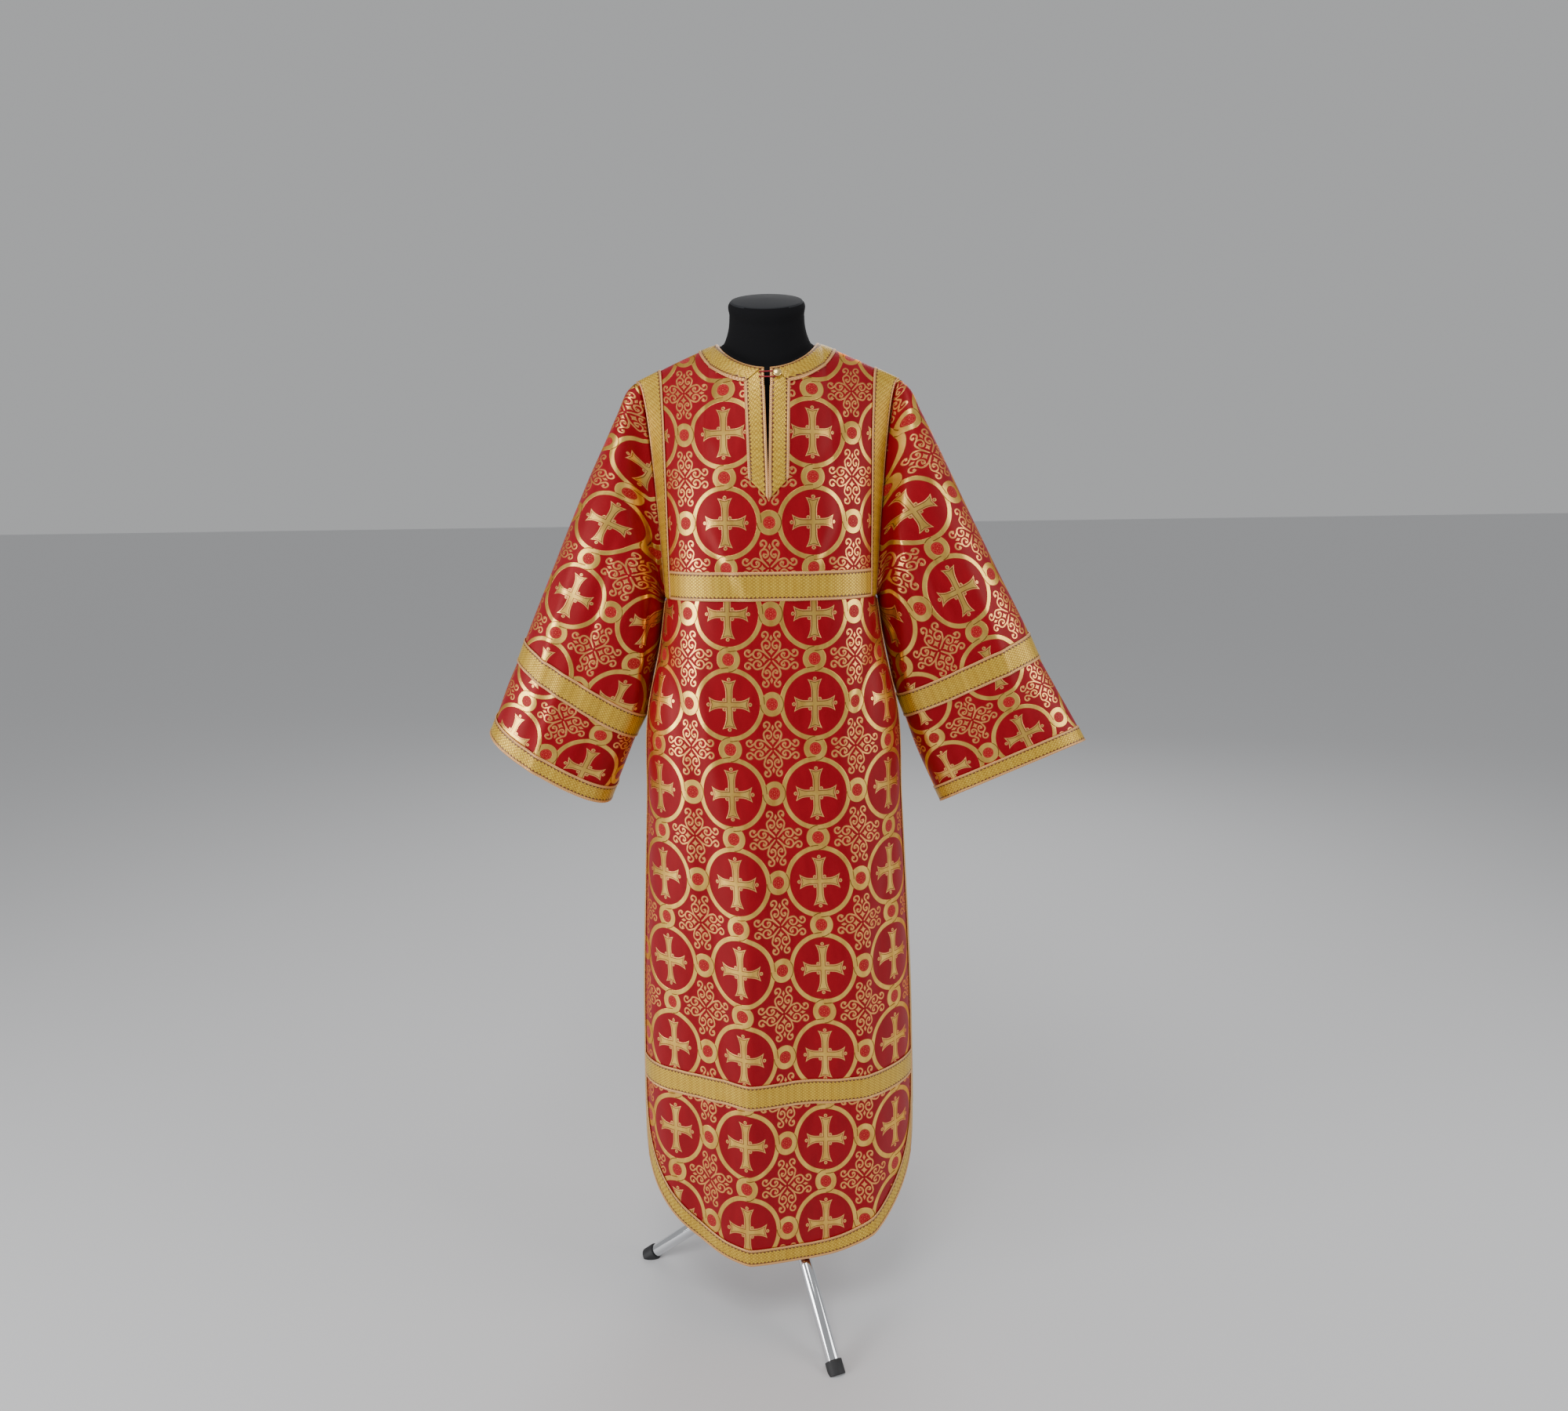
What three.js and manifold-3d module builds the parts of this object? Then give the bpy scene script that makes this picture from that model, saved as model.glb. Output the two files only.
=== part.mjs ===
// A sticharion: a long straight vestment of red and gold brocade with wide sleeves and braid trims.
// A limbless dress form on a chrome tripod stand wears it.
// Millimetres, +Z up, the front faces -Y, and left and right in the names are the viewer's.
import * as THREE from 'three';
import { mergeVertices } from 'three/addons/utils/BufferGeometryUtils.js';
import Module from 'manifold-3d';

const wasm = await Module();
wasm.setup();

// Driving dimensions. The form's axis is X 0, Y 0 and the floor is Z 0.
const CLOTH = 1.6; // wall of the brocade with its lining
const BRAID = 1.2; // thickness of a trim
const LIFT = 0.4; // air between a trim and the cloth under it
const SEAM = 0.3; // gap between two pieces that are sewn together
const WIDE = 43; // width of the chest, armhole, sleeve and hem bands
const NARROW = 30; // width of the neck, slit, side and hem edgings
const CHEST_Z = 1232; // lower edge of the chest band and bottom of the armholes
const HEM_Z = 124; // lowest edge of the front and the back
const HEM_ROUND = 250; // radius of the hem's four corners
const VENT_Z = 455; // the side seams are open below this
const VENT_SPREAD = 12; // how far each hem corner stands off the seam line
const UNDERARM = 30; // from the side seam to the armhole's edge, along the chest line
const NECK = { half: 76, front: 88, back: 60, z: 1612, frontDrop: 44, backDrop: -2, bend: 1.4 };
const SHOULDER = { tip: 205, drop: 54, bend: 1.15 };
const SLIT = { top: 1568, bottom: 1411, wide: 4.5, narrow: 0.5, joined: 1365 };
const CENTRE_GAP = 7; // from the centre line to the first column of points
const SLEEVE_GAP = 5; // from the body's side to the middle of the sleeve's wall
const SPRING = 0.45; // how fast the shoulder spreads sideways as it falls: lower is squarer

// The garment's outline at a few heights: half its width, its depth each way, and its squareness.
const BODY = [
  { z: 1232, half: 165, front: 128, back: 116, square: 2.8 },
  { z: 1150, half: 178, front: 130, back: 117, square: 2.6 },
  { z: 1050, half: 201, front: 130, back: 119, square: 2.4 },
  { z: 900, half: 209, front: 130, back: 121, square: 2.3 },
  { z: 780, half: 216, front: 130, back: 122, square: 2.2 },
  { z: 570, half: 227, front: 131, back: 124, square: 2.1 },
  { z: 430, half: 231, front: 131, back: 125, square: 2.1 },
  { z: 124, half: 234, front: 132, back: 127, square: 2.05 },
];

// The skirt's largest folds. across and hem are a fold's distances from the centre line at the chest
// and at the hem, and it grows from nothing at the height starts to its whole lift at the height full.
// A low value of soft makes a sharp crease.
const FOLDS = [
  { side: -1, across: -30, hem: -50, lift: 17, width: 54, soft: 1.2, starts: 1060, full: 620 },
  { side: -1, across: -118, hem: -140, lift: -9, width: 46, soft: 1.7, starts: 1040, full: 560 },
  { side: -1, across: 118, hem: 158, lift: 11, width: 38, soft: 1.4, starts: 1040, full: 600 },
  { side: -1, across: 62, hem: 58, lift: -6, width: 50, soft: 1.7, starts: 940, full: 500 },
  { side: 1, across: 38, hem: 60, lift: 14, width: 46, soft: 1.4, starts: 1080, full: 620 },
  { side: 1, across: 120, hem: 132, lift: -9, width: 42, soft: 1.7, starts: 980, full: 520 },
  { side: 1, across: -66, hem: -96, lift: 13, width: 46, soft: 1.4, starts: 1060, full: 560 },
  { side: 1, across: -12, hem: -14, lift: -8, width: 42, soft: 1.7, starts: 960, full: 480 },
];

// Sleeve sections from the armhole to the cuff: the upper edge, the lower edge, half the depth, how
// much lower the back hangs than the front, and the squareness. Where innerX is missing, the lower
// edge hangs beside the body.
const RIGHT_SLEEVE = [
  { outerX: 215, outerZ: 1549, innerZ: 1226, depth: 40, hang: 0, square: 3 },
  { outerX: 235, outerZ: 1513, innerZ: 1214, depth: 56, hang: 0, square: 2.8 },
  { outerX: 258, outerZ: 1468, innerZ: 1202, depth: 64, hang: 0, square: 2.6 },
  { outerX: 285, outerZ: 1414, innerZ: 1186, depth: 66, hang: 0, square: 2.5 },
  { outerX: 318, outerZ: 1348, innerZ: 1163, depth: 64, hang: 0, square: 2.4 },
  { outerX: 358, outerZ: 1270, innerZ: 1130, depth: 60, hang: 0, square: 2.3 },
  { outerX: 413, outerZ: 1164, innerZ: 1067, depth: 54, hang: -0.06, square: 2.3 },
  { outerX: 432, outerZ: 1123, innerX: 217, innerZ: 1029, depth: 52, hang: -0.1, square: 2.3 },
  { outerX: 460, outerZ: 1073, innerX: 235, innerZ: 980, depth: 50, hang: -0.2, square: 2.3 },
  { outerX: 498, outerZ: 1007, innerX: 267, innerZ: 909, depth: 48, hang: -0.32, square: 2.3 },
  { outerX: 511, outerZ: 982, innerX: 279, innerZ: 884, depth: 48, hang: -0.36, square: 2.3 },
];
const LEFT_SLEEVE = [
  { outerX: 215, outerZ: 1549, innerZ: 1226, depth: 27, hang: 0, square: 3 },
  { outerX: 233, outerZ: 1513, innerZ: 1213, depth: 44, hang: 0, square: 2.8 },
  { outerX: 254, outerZ: 1470, innerZ: 1198, depth: 60, hang: 0, square: 2.6 },
  { outerX: 277, outerZ: 1425, innerZ: 1180, depth: 66, hang: 0, square: 2.5 },
  { outerX: 308, outerZ: 1360, innerZ: 1150, depth: 66, hang: 0, square: 2.4 },
  { outerX: 348, outerZ: 1272, innerZ: 1100, depth: 62, hang: 0, square: 2.3 },
  { outerX: 396, outerZ: 1166, innerZ: 1041, depth: 58, hang: 0.08, square: 2.3 },
  { outerX: 410, outerZ: 1132, innerX: 226, innerZ: 1004, depth: 58, hang: 0.1, square: 2.3 },
  { outerX: 430, outerZ: 1090, innerX: 243, innerZ: 965, depth: 58, hang: 0.14, square: 2.3 },
  { outerX: 450, outerZ: 1042, innerX: 260, innerZ: 925, depth: 60, hang: 0.19, square: 2.3 },
  { outerX: 462, outerZ: 1015, innerX: 272, innerZ: 898, depth: 60, hang: 0.2, square: 2.3 },
];

// The dress form inside: sections of its trunk, its shoulders' steps from top to chest, its neck as
// half widths by height fraction, and its cap.
const TRUNK = [
  { z: 1232, half: 140, front: 105, back: 98, square: 2.2 },
  { z: 1120, half: 128, front: 92, back: 85, square: 2.2 },
  { z: 1000, half: 145, front: 98, back: 95, square: 2.2 },
  { z: 900, half: 158, front: 103, back: 105, square: 2.3 },
  { z: 832, half: 160, front: 104, back: 108, square: 2.3 },
  { z: 820, half: 152, front: 97, back: 101, square: 2.3 },
];
const SHOULDER_STEPS = [0, 0.06, 0.14, 0.25, 0.38, 0.54, 0.76, 1];
const FORM_NECK = [
  { rise: 0.1, half: 67 },
  { rise: 0.22, half: 63 },
  { rise: 0.42, half: 59 },
  { rise: 0.7, half: 57.3 },
  { rise: 0.97, half: 56.5 },
  { rise: 1, half: 54.5 },
];
const FORM = { underNeck: 3.6, underTip: 1.5, tip: 187, neckHalf: 73.5, neckFront: 85.5, neckBack: 57.5, bottom: 820 };
const CAP = { z: 1678, tilt: THREE.MathUtils.degToRad(20), dome: 4 };

// The stand: a pole from the form down to a hub, and three legs with rubber feet.
const POLE_RADIUS = 16;
const HUB = { radius: 24, bottom: 160, top: 235, legs: 198 };
const LEG = { radius: 11.5, reach: 250, capRadius: 14, capLength: 16, capOver: 6, buried: 8 };
const LEG_HEADINGS = [-69.6, 170.4, 50.4].map(THREE.MathUtils.degToRad);

const BUTTON = { x: 14.5, row: 0.95, shank: 2.5, shankHeight: 2.4, head: 6.5, rim: 1.1, height: 6.2, dome: 0.3 };
const LOOP = { cord: 0.9, radius: 4.3, end: -12, closing: [0.8, 0.9], steps: 28 };

// Rows of points: the neck edging, the yoke down to the chest line, then the skirt to the hem.
const NECK_ROWS = 2;
const YOKE_SHARES = [0.052, 0.125, 0.228, 0.36, 0.5, 0.667, 0.833, 1];
const SLIT_ROW = 7;
const CHEST_ROW = NECK_ROWS + YOKE_SHARES.length + 1;
const SKIRT_Z = [1170, 1090, 1000, 910, 820, 730, 640, 550, 452, 409];
const BAND_ROW = CHEST_ROW + SKIRT_Z.length - 1;
const EDGING_ROW = CHEST_ROW + SKIRT_Z.length + 2;
const HEM_ROW = EDGING_ROW + 1;

// Columns of points on each side of the centre line. Column 6 runs from the neck's side point,
// column 12 is the armhole's edge and column 14 is the side seam.
const FROM_CENTRE = [0, 14.5, 29];
const FROM_SEAM = [74, 57, 40, 30, 15, 0];
const NECK_COLUMN = 6;
const STRIP_COLUMN = 9;
const ARMHOLE_COLUMN = 12;
const SEAM_COLUMN = 14;
const FRONT = -1;
const BACK = 1;

const { lerp, clamp, smoothstep } = THREE.MathUtils;
const count = (total) => Array.from({ length: total }, (_, index) => index);
const power = (value, exponent) => Math.sign(value) * Math.abs(value) ** exponent;
const columnIndex = (half, column) => (half > 0 ? SEAM_COLUMN + 1 + column : SEAM_COLUMN - column);

// A curve given by a function of 0 to 1, with points asked for by distance.
class Line extends THREE.Curve {
  constructor(place) {
    super();
    this.place = place;
  }

  getPoint(t, target = new THREE.Vector3()) {
    return target.copy(this.place(t));
  }

  at(distance) {
    return this.getPointAt(clamp(distance / this.getLength(), 0, 1));
  }
}

// One row of a table of sections at any height between its first and last rows.
function sectionAt(table, z) {
  const lower = table.findIndex((row) => row.z <= z);
  if (lower < 1) return table[lower < 0 ? table.length - 1 : 0];
  const [above, below] = [table[lower - 1], table[lower]];
  const share = (above.z - z) / (above.z - below.z);
  const mix = (key) => lerp(above[key], below[key], share);
  return { z, half: mix('half'), front: mix('front'), back: mix('back'), square: mix('square') };
}

// A quarter of a section, from the centre line to the side.
function quarter(section, side) {
  const depth = side === FRONT ? section.front : section.back;
  return new Line((t) => {
    const angle = (t * Math.PI) / 2;
    const x = section.half * power(Math.sin(angle), 2 / section.square);
    const y = side * depth * power(Math.cos(angle), 2 / section.square);
    return new THREE.Vector3(x, y, section.z);
  });
}

const shoulderZ = (x) =>
  NECK.z - SHOULDER.drop * (Math.max(0, x - NECK.half) / (SHOULDER.tip - NECK.half)) ** SHOULDER.bend;

// The neckline's quarter and then the shoulder seam, out to the tip.
function topLine(side, neck, tip, underNeck, underTip) {
  const depth = side === FRONT ? neck.front : neck.back;
  const drop = side === FRONT ? NECK.frontDrop : NECK.backDrop;
  const neckline = new Line((t) => {
    const share = Math.cos((t * Math.PI) / 2);
    const x = neck.half * Math.sin((t * Math.PI) / 2);
    return new THREE.Vector3(x, side * depth * share, NECK.z - underNeck - drop * share ** NECK.bend);
  });
  const seam = new Line((t) => {
    const x = lerp(neck.half, tip, t);
    return new THREE.Vector3(x, 0, shoulderZ(x) - lerp(underNeck, underTip, t));
  });
  const neckShare = neckline.getLength() / (neckline.getLength() + seam.getLength());
  const whole = new Line((t) =>
    t < neckShare ? neckline.getPointAt(t / neckShare) : seam.getPointAt((t - neckShare) / (1 - neckShare)),
  );
  return { whole, neckShare, neckLength: neckline.getLength() };
}

// The rounded surface between a top line and a chest line: out first, then down.
function yokeSurface(top, chest) {
  return (across, down) => {
    const from = top.getPointAt(across);
    const to = chest.getPointAt(across);
    const out = Math.sin((down * Math.PI) / 2);
    const fall = 1 - Math.cos((down * Math.PI) / 2);
    return new THREE.Vector3(lerp(from.x, to.x, fall ** SPRING), lerp(from.y, to.y, out), lerp(from.z, to.z, fall));
  };
}

// The value of 0 to 1 at which a rising function passes zero.
function solve(rising) {
  const halvings = 30;
  let [low, high] = [0, 1];
  for (let step = 0; step < halvings; step += 1) {
    const middle = (low + high) / 2;
    if (rising(middle) < 0) low = middle;
    else high = middle;
  }
  return (low + high) / 2;
}

// How far the first column is from the centre line: the neck slit opens it at the front.
function centreGap(side, z) {
  if (side === BACK || z < CHEST_Z + WIDE) return CENTRE_GAP;
  if (z > SLIT.bottom) return lerp(SLIT.narrow, SLIT.wide, clamp((z - SLIT.bottom) / (SLIT.top - SLIT.bottom), 0, 1));
  const joined = (SLIT.joined - z) / (SLIT.joined - CHEST_Z - WIDE);
  return lerp(SLIT.narrow, CENTRE_GAP, clamp(joined, 0, 1));
}

// A column's distance from the centre line on a row whose seam column lies at the distance edge.
function columnDistance(column, gap, edge) {
  if (column < FROM_CENTRE.length) return gap + FROM_CENTRE[column];
  if (column >= STRIP_COLUMN) return edge - FROM_SEAM[column - STRIP_COLUMN];
  const last = FROM_CENTRE.length - 1;
  const share = (column - last) / (STRIP_COLUMN - last);
  return lerp(gap + FROM_CENTRE[last], edge - FROM_SEAM[0], share);
}

// The yoke's points on the +X half, as functions of column and row.
function yoke(side) {
  const top = topLine(side, NECK, SHOULDER.tip, 0, 0);
  const chest = quarter(BODY[0], side);
  const chestReach = chest.getLength() - UNDERARM;
  const chestPart = new Line((t) => chest.at(t * chestReach));
  const surface = yokeSurface(top.whole, chestPart);
  const topReach = top.whole.getLength();

  // Where the surface has a given X and Y, as its across and down values.
  const locate = (x, y) => {
    const downAt = (across) => {
      const [from, to] = [top.whole.getPointAt(across).y, chestPart.getPointAt(across).y];
      return (Math.asin(clamp((y - from) / (to - from), 0, 1)) * 2) / Math.PI;
    };
    const across = solve((value) => surface(value, downAt(value)).x - x);
    return [across, downAt(across)];
  };

  const neckPoint = (column) => {
    const last = FROM_CENTRE.length - 1;
    const gap = centreGap(side, SLIT.top);
    const near = gap + FROM_CENTRE[Math.min(column, last)];
    const share = Math.max(0, column - last) / (NECK_COLUMN - last);
    return top.whole.at(lerp(near, top.neckLength, share));
  };

  // A point of the neck edging: a distance away from the neckline, square to it, and straight down
  // beside the slit.
  const collar = (column, distance) => {
    const start = neckPoint(column);
    const depth = side === FRONT ? NECK.front : NECK.back;
    const heading = new THREE.Vector2(start.x / NECK.half ** 2, start.y / depth ** 2).normalize();
    if (column < FROM_CENTRE.length) heading.set(0, side);
    const reach = (share) => locate(start.x + heading.x * share * distance, start.y + heading.y * share * distance);
    const share = solve((value) => surface(...reach(value)).distanceTo(start) - distance);
    return reach(share);
  };

  const startOf = (column) => {
    if (column <= NECK_COLUMN) return collar(column, NARROW);
    const [neckSide] = collar(NECK_COLUMN, NARROW);
    const strip = 1 - (FROM_SEAM[Math.max(column, STRIP_COLUMN) - STRIP_COLUMN] - UNDERARM) / topReach;
    const share = Math.min(1, (column - NECK_COLUMN) / (STRIP_COLUMN - NECK_COLUMN));
    return [lerp(neckSide, strip, share), 0];
  };

  const columnLine = (column) => {
    const [startAcross, startDown] = startOf(column);
    const endAcross = columnDistance(column, CENTRE_GAP, chestReach + UNDERARM) / chestReach;
    return new Line((t) => {
      const down = lerp(startDown, 1, t);
      if (column >= FROM_CENTRE.length) return surface(lerp(startAcross, endAcross, t), down);
      const across = solve((value) => {
        const point = surface(value, down);
        return point.x - centreGap(side, point.z) - FROM_CENTRE[column];
      });
      return surface(across, down);
    });
  };

  return (column) => {
    const line = columnLine(column);
    const toBand = line.getLength() - WIDE;
    const rows = [0, ...YOKE_SHARES.map((share) => share * toBand), line.getLength()].map((d) => line.at(d));
    const edging = count(NECK_ROWS).map((row) =>
      column > NECK_COLUMN ? null : surface(...collar(column, (row * NARROW) / NECK_ROWS)),
    );
    return [...edging, ...rows];
  };
}

// The hem's height and the hem edging's upper edge at a distance from the side edge.
const hemZ = (edge) => HEM_Z + HEM_ROUND - Math.sqrt(HEM_ROUND ** 2 - Math.max(0, HEM_ROUND - edge) ** 2);
function edgingZ(edge) {
  const radius = HEM_ROUND - NARROW;
  const inside = clamp(HEM_ROUND - edge, 0, radius);
  return HEM_Z + HEM_ROUND - Math.sqrt(radius ** 2 - inside ** 2) + Math.max(0, NARROW - edge) / 2;
}

// How far the folds move a point of the skirt out along its section's normal.
function foldLift(side, distance, z, edge) {
  const share = (CHEST_Z - z) / (CHEST_Z - HEM_Z);
  const lift = FOLDS.filter((fold) => fold.side === side).reduce((sum, fold) => {
    const offset = (distance - lerp(fold.across, fold.hem, share)) / fold.width;
    return sum + fold.lift * (1 - smoothstep(z, fold.full, fold.starts)) * Math.exp(-(Math.abs(offset) ** fold.soft));
  }, 0);
  return lift * smoothstep(edge, 0, 80);
}

const HEM_LENGTH = {
  [FRONT]: quarter(BODY.at(-1), FRONT).getLength(),
  [BACK]: quarter(BODY.at(-1), BACK).getLength(),
};

// A point of the skirt: half is -1 or 1 for its side of the centre line.
function skirtPoint(side, half, column, row) {
  const edge = HEM_LENGTH[side] - columnDistance(column, CENTRE_GAP, HEM_LENGTH[side]);
  const edging = edgingZ(edge);
  const heights = [...SKIRT_Z, lerp(SKIRT_Z.at(-1), edging, 0.5), edging, hemZ(edge)];
  const z = heights[row - CHEST_ROW - 1];
  const line = quarter({ ...sectionAt(BODY, z), z }, side);
  const spread = (VENT_SPREAD * Math.max(0, VENT_Z - z)) / (VENT_Z - HEM_Z);
  const distance = columnDistance(column, CENTRE_GAP, line.getLength() - spread);
  const point = line.at(distance);
  const along = line.getTangentAt(clamp(distance / line.getLength(), 0.001, 0.999));
  const lift = foldLift(side, half * distance, z, line.getLength() - distance);
  point.x += -side * along.y * lift;
  point.y += side * along.x * lift;
  point.x *= half;
  return point;
}

// Adds each cell's normal to its corners, so that a grid's points know which way is out.
function withNormals(points, present, wrap, facing) {
  const grid = points.map((row) => row.map((at) => ({ at, out: new THREE.Vector3() })));
  eachCell(grid, present, wrap, (a, b, c, d) => {
    const across = new THREE.Vector3().subVectors(c.at, a.at);
    const normal = new THREE.Vector3().subVectors(d.at, b.at).cross(across).multiplyScalar(-facing);
    [a, b, c, d].forEach((corner) => corner.out.add(normal));
  });
  grid.forEach((row) => row.forEach((node) => node.out.normalize()));
  return grid;
}

function eachCell(grid, present, wrap, visit) {
  const columns = grid[0].length;
  const cells = wrap ? columns : columns - 1;
  count(grid.length - 1).forEach((r) => {
    count(cells).forEach((c) => {
      if (!present(r, c)) return;
      const next = (c + 1) % columns;
      visit(grid[r][c], grid[r][next], grid[r + 1][next], grid[r + 1][c], r, c);
    });
  });
}

// A closed wall between two offsets of a grid, with its cut edges faced.
function wall(grid, near, far, present = () => true, wrap = false) {
  const cells = wrap ? grid[0].length : grid[0].length - 1;
  const inside = (r, c) => {
    const column = wrap ? (c + cells) % cells : c;
    return r >= 0 && r < grid.length - 1 && column >= 0 && column < cells && present(r, column);
  };
  const shift = (node, offset) => node.at.clone().addScaledVector(node.out, offset);
  const triangles = [];
  let facing = 0;
  eachCell(grid, present, wrap, (a, b, c, d, row, column) => {
    const normal = new THREE.Vector3().subVectors(c.at, a.at).cross(new THREE.Vector3().subVectors(d.at, b.at));
    facing += normal.dot(a.out);
    const [outer, inner] = [far, near].map((offset) => [a, b, c, d].map((node) => shift(node, offset)));
    const first = a.at.distanceTo(c.at) > b.at.distanceTo(d.at) ? 1 : 0;
    const [p, q, r, s] = [0, 1, 2, 3].map((corner) => (corner + first) % 4);
    triangles.push([outer[p], outer[q], outer[r]], [outer[p], outer[r], outer[s]]);
    triangles.push([inner[p], inner[r], inner[q]], [inner[p], inner[s], inner[r]]);
    const neighbours = [inside(row - 1, column), inside(row, column + 1), inside(row + 1, column), inside(row, column - 1)];
    neighbours.forEach((joined, edge) => {
      if (joined) return;
      const next = (edge + 1) % 4;
      triangles.push([outer[next], outer[edge], inner[edge]], [outer[next], inner[edge], inner[next]]);
    });
  });
  const ordered = facing > 0 ? triangles : triangles.map(([a, b, c]) => [a, c, b]);
  return new THREE.BufferGeometry().setFromPoints(ordered.flat());
}

// A panel's grid, from the left side seam to the right one and from the neck to the hem.
function panelGrid(side) {
  const columnOf = yoke(side);
  const yokeColumns = count(ARMHOLE_COLUMN + 1).map(columnOf);
  const chest = quarter(BODY[0], side);
  const chestPoint = (column) => chest.at(columnDistance(column, CENTRE_GAP, chest.getLength()));
  const place = (row, half, column) => {
    if (row > CHEST_ROW) return skirtPoint(side, half, column, row);
    if (column <= ARMHOLE_COLUMN && yokeColumns[column][row]) {
      const point = yokeColumns[column][row].clone();
      return point.setX(point.x * half);
    }
    if (row < CHEST_ROW) return new THREE.Vector3();
    const point = chestPoint(column);
    return point.setX(point.x * half);
  };
  const halves = [...count(SEAM_COLUMN + 1).reverse().map((c) => [-1, c]), ...count(SEAM_COLUMN + 1).map((c) => [1, c])];
  const points = count(HEM_ROW + 1).map((row) => halves.map(([half, column]) => place(row, half, column)));
  const present = (row, index) => {
    const column = index > SEAM_COLUMN ? index - SEAM_COLUMN : SEAM_COLUMN - index;
    if (column === 0) return side === BACK || row >= SLIT_ROW;
    if (row < NECK_ROWS) return column <= NECK_COLUMN;
    return row >= CHEST_ROW || column <= ARMHOLE_COLUMN;
  };
  const grid = withNormals(points, present, false, side === FRONT ? -1 : 1);
  grid.forEach((nodes, row) =>
    nodes.forEach((node, index) => {
      const column = halves[index][1];
      const shoulder = (row === NECK_ROWS && column >= NECK_COLUMN) || (row < NECK_ROWS && column === NECK_COLUMN);
      if (!shoulder && (column < SEAM_COLUMN || row < CHEST_ROW)) return;
      node.out.setY(0).normalize();
      node.at.y += (side * SEAM) / 2;
    }),
  );
  return { grid, present };
}

// A point of a panel between its grid's points, with the way out there.
function sample(grid, row, column) {
  const [r, c] = [Math.min(Math.floor(row), grid.length - 2), Math.min(Math.floor(column), grid[0].length - 2)];
  const blend = (key) => {
    const upper = grid[r][c][key].clone().lerp(grid[r][c + 1][key], column - c);
    const lower = grid[r + 1][c][key].clone().lerp(grid[r + 1][c + 1][key], column - c);
    return upper.lerp(lower, row - r);
  };
  return { at: blend('at'), out: blend('out').normalize() };
}

const trimWall = (grid, wrap = false) => wall(grid, CLOTH / 2 + LIFT, CLOTH / 2 + LIFT + BRAID, undefined, wrap);
const front = panelGrid(FRONT);
const back = panelGrid(BACK);
const INSET = 0.02; // share of a cell that a trim stops short of its neighbour
const EDGE_INSET = 0.3; // share of a cell that an armhole strip stops short of the sleeve

// The neck edging: mitred at the slit, round the neck over both shoulder seams.
function neckTrim() {
  const rows = count(NECK_ROWS + 1).map((row) => {
    const steps = count(NECK_COLUMN + 1).map((step) => Math.max(row + INSET * (1 + step), step));
    const onFront = (half) => steps.map((column) => sample(front.grid, row, columnIndex(half, column)));
    const onBack = (half) => count(NECK_COLUMN).map((column) => sample(back.grid, row, columnIndex(half, column)));
    return [...onFront(1), ...onBack(1).reverse(), ...onBack(-1), ...onFront(-1).reverse()];
  });
  return trimWall(rows);
}

// One side of the slit's edging, mitred above and pointed below.
function placketTrim(half) {
  const tip = [0.64, 0.32, 0.05]; // how much of a row longer it is, from the slit outwards
  const rows = count(SLIT_ROW + 2).map((step) =>
    FROM_CENTRE.map((_, column) => {
      const row = step > SLIT_ROW ? SLIT_ROW + tip[column] : Math.max(column + INSET * (1 + step), step);
      return sample(front.grid, row, columnIndex(half, column));
    }),
  );
  return trimWall(rows);
}

// The band across the chest or the back, between the two armhole strips.
function chestTrim(panel) {
  const [first, last] = [columnIndex(-1, STRIP_COLUMN), columnIndex(1, STRIP_COLUMN)];
  const columns = count(last - first + 1).map((index) => clamp(first + index, first + INSET, last - INSET));
  return trimWall([CHEST_ROW - 1, CHEST_ROW].map((row) => columns.map((column) => sample(panel.grid, row, column))));
}

// The strip round an armhole's edge, from the chest over the shoulder to the back.
function armholeTrim(half) {
  const rows = count(CHEST_ROW - NECK_ROWS + 1).map((row) => row + NECK_ROWS);
  const strip = (panel) => (row) =>
    count(ARMHOLE_COLUMN - STRIP_COLUMN + 1).map((step) => {
      const column = Math.min(step + STRIP_COLUMN, ARMHOLE_COLUMN - EDGE_INSET);
      return sample(panel.grid, row, columnIndex(half, column));
    });
  return trimWall([...[...rows].reverse().map(strip(front)), ...rows.map(strip(back))]);
}

// The band above the hem, between the two side edgings.
function hemBand(panel) {
  const [first, last] = [columnIndex(-1, ARMHOLE_COLUMN), columnIndex(1, ARMHOLE_COLUMN)];
  const columns = count(last - first + 1).map((index) => clamp(first + index, first + INSET, last - INSET));
  return trimWall([BAND_ROW, BAND_ROW + 1].map((row) => columns.map((column) => sample(panel.grid, row, column))));
}

// The edging along the hem, with its rounded corners.
function hemTrim(panel) {
  const [first, last] = [columnIndex(-1, ARMHOLE_COLUMN), columnIndex(1, ARMHOLE_COLUMN)];
  const columns = count(last - first + 1).map((index) => clamp(first + index, first + INSET, last - INSET));
  return trimWall([EDGING_ROW, HEM_ROW].map((row) => columns.map((column) => sample(panel.grid, row, column))));
}

// The edging down one side of a panel, from below the sleeve to the hem.
function sideTrim(panel, half) {
  const rows = count(HEM_ROW - CHEST_ROW + 1).map((row) => CHEST_ROW + Math.max(row, 0.12));
  const columns = count(SEAM_COLUMN - ARMHOLE_COLUMN + 1).map((column) => column + ARMHOLE_COLUMN);
  return trimWall(rows.map((row) => columns.map((column) => sample(panel.grid, row, columnIndex(half, column)))));
}

const SLEEVE_SIDES = 24;
const ARMHOLE_STEP = { least: 0.7, turned: 1.3 }; // how far the sleeve starts beyond the armhole's edge
const SLEEVE_BAND = 7;

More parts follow.
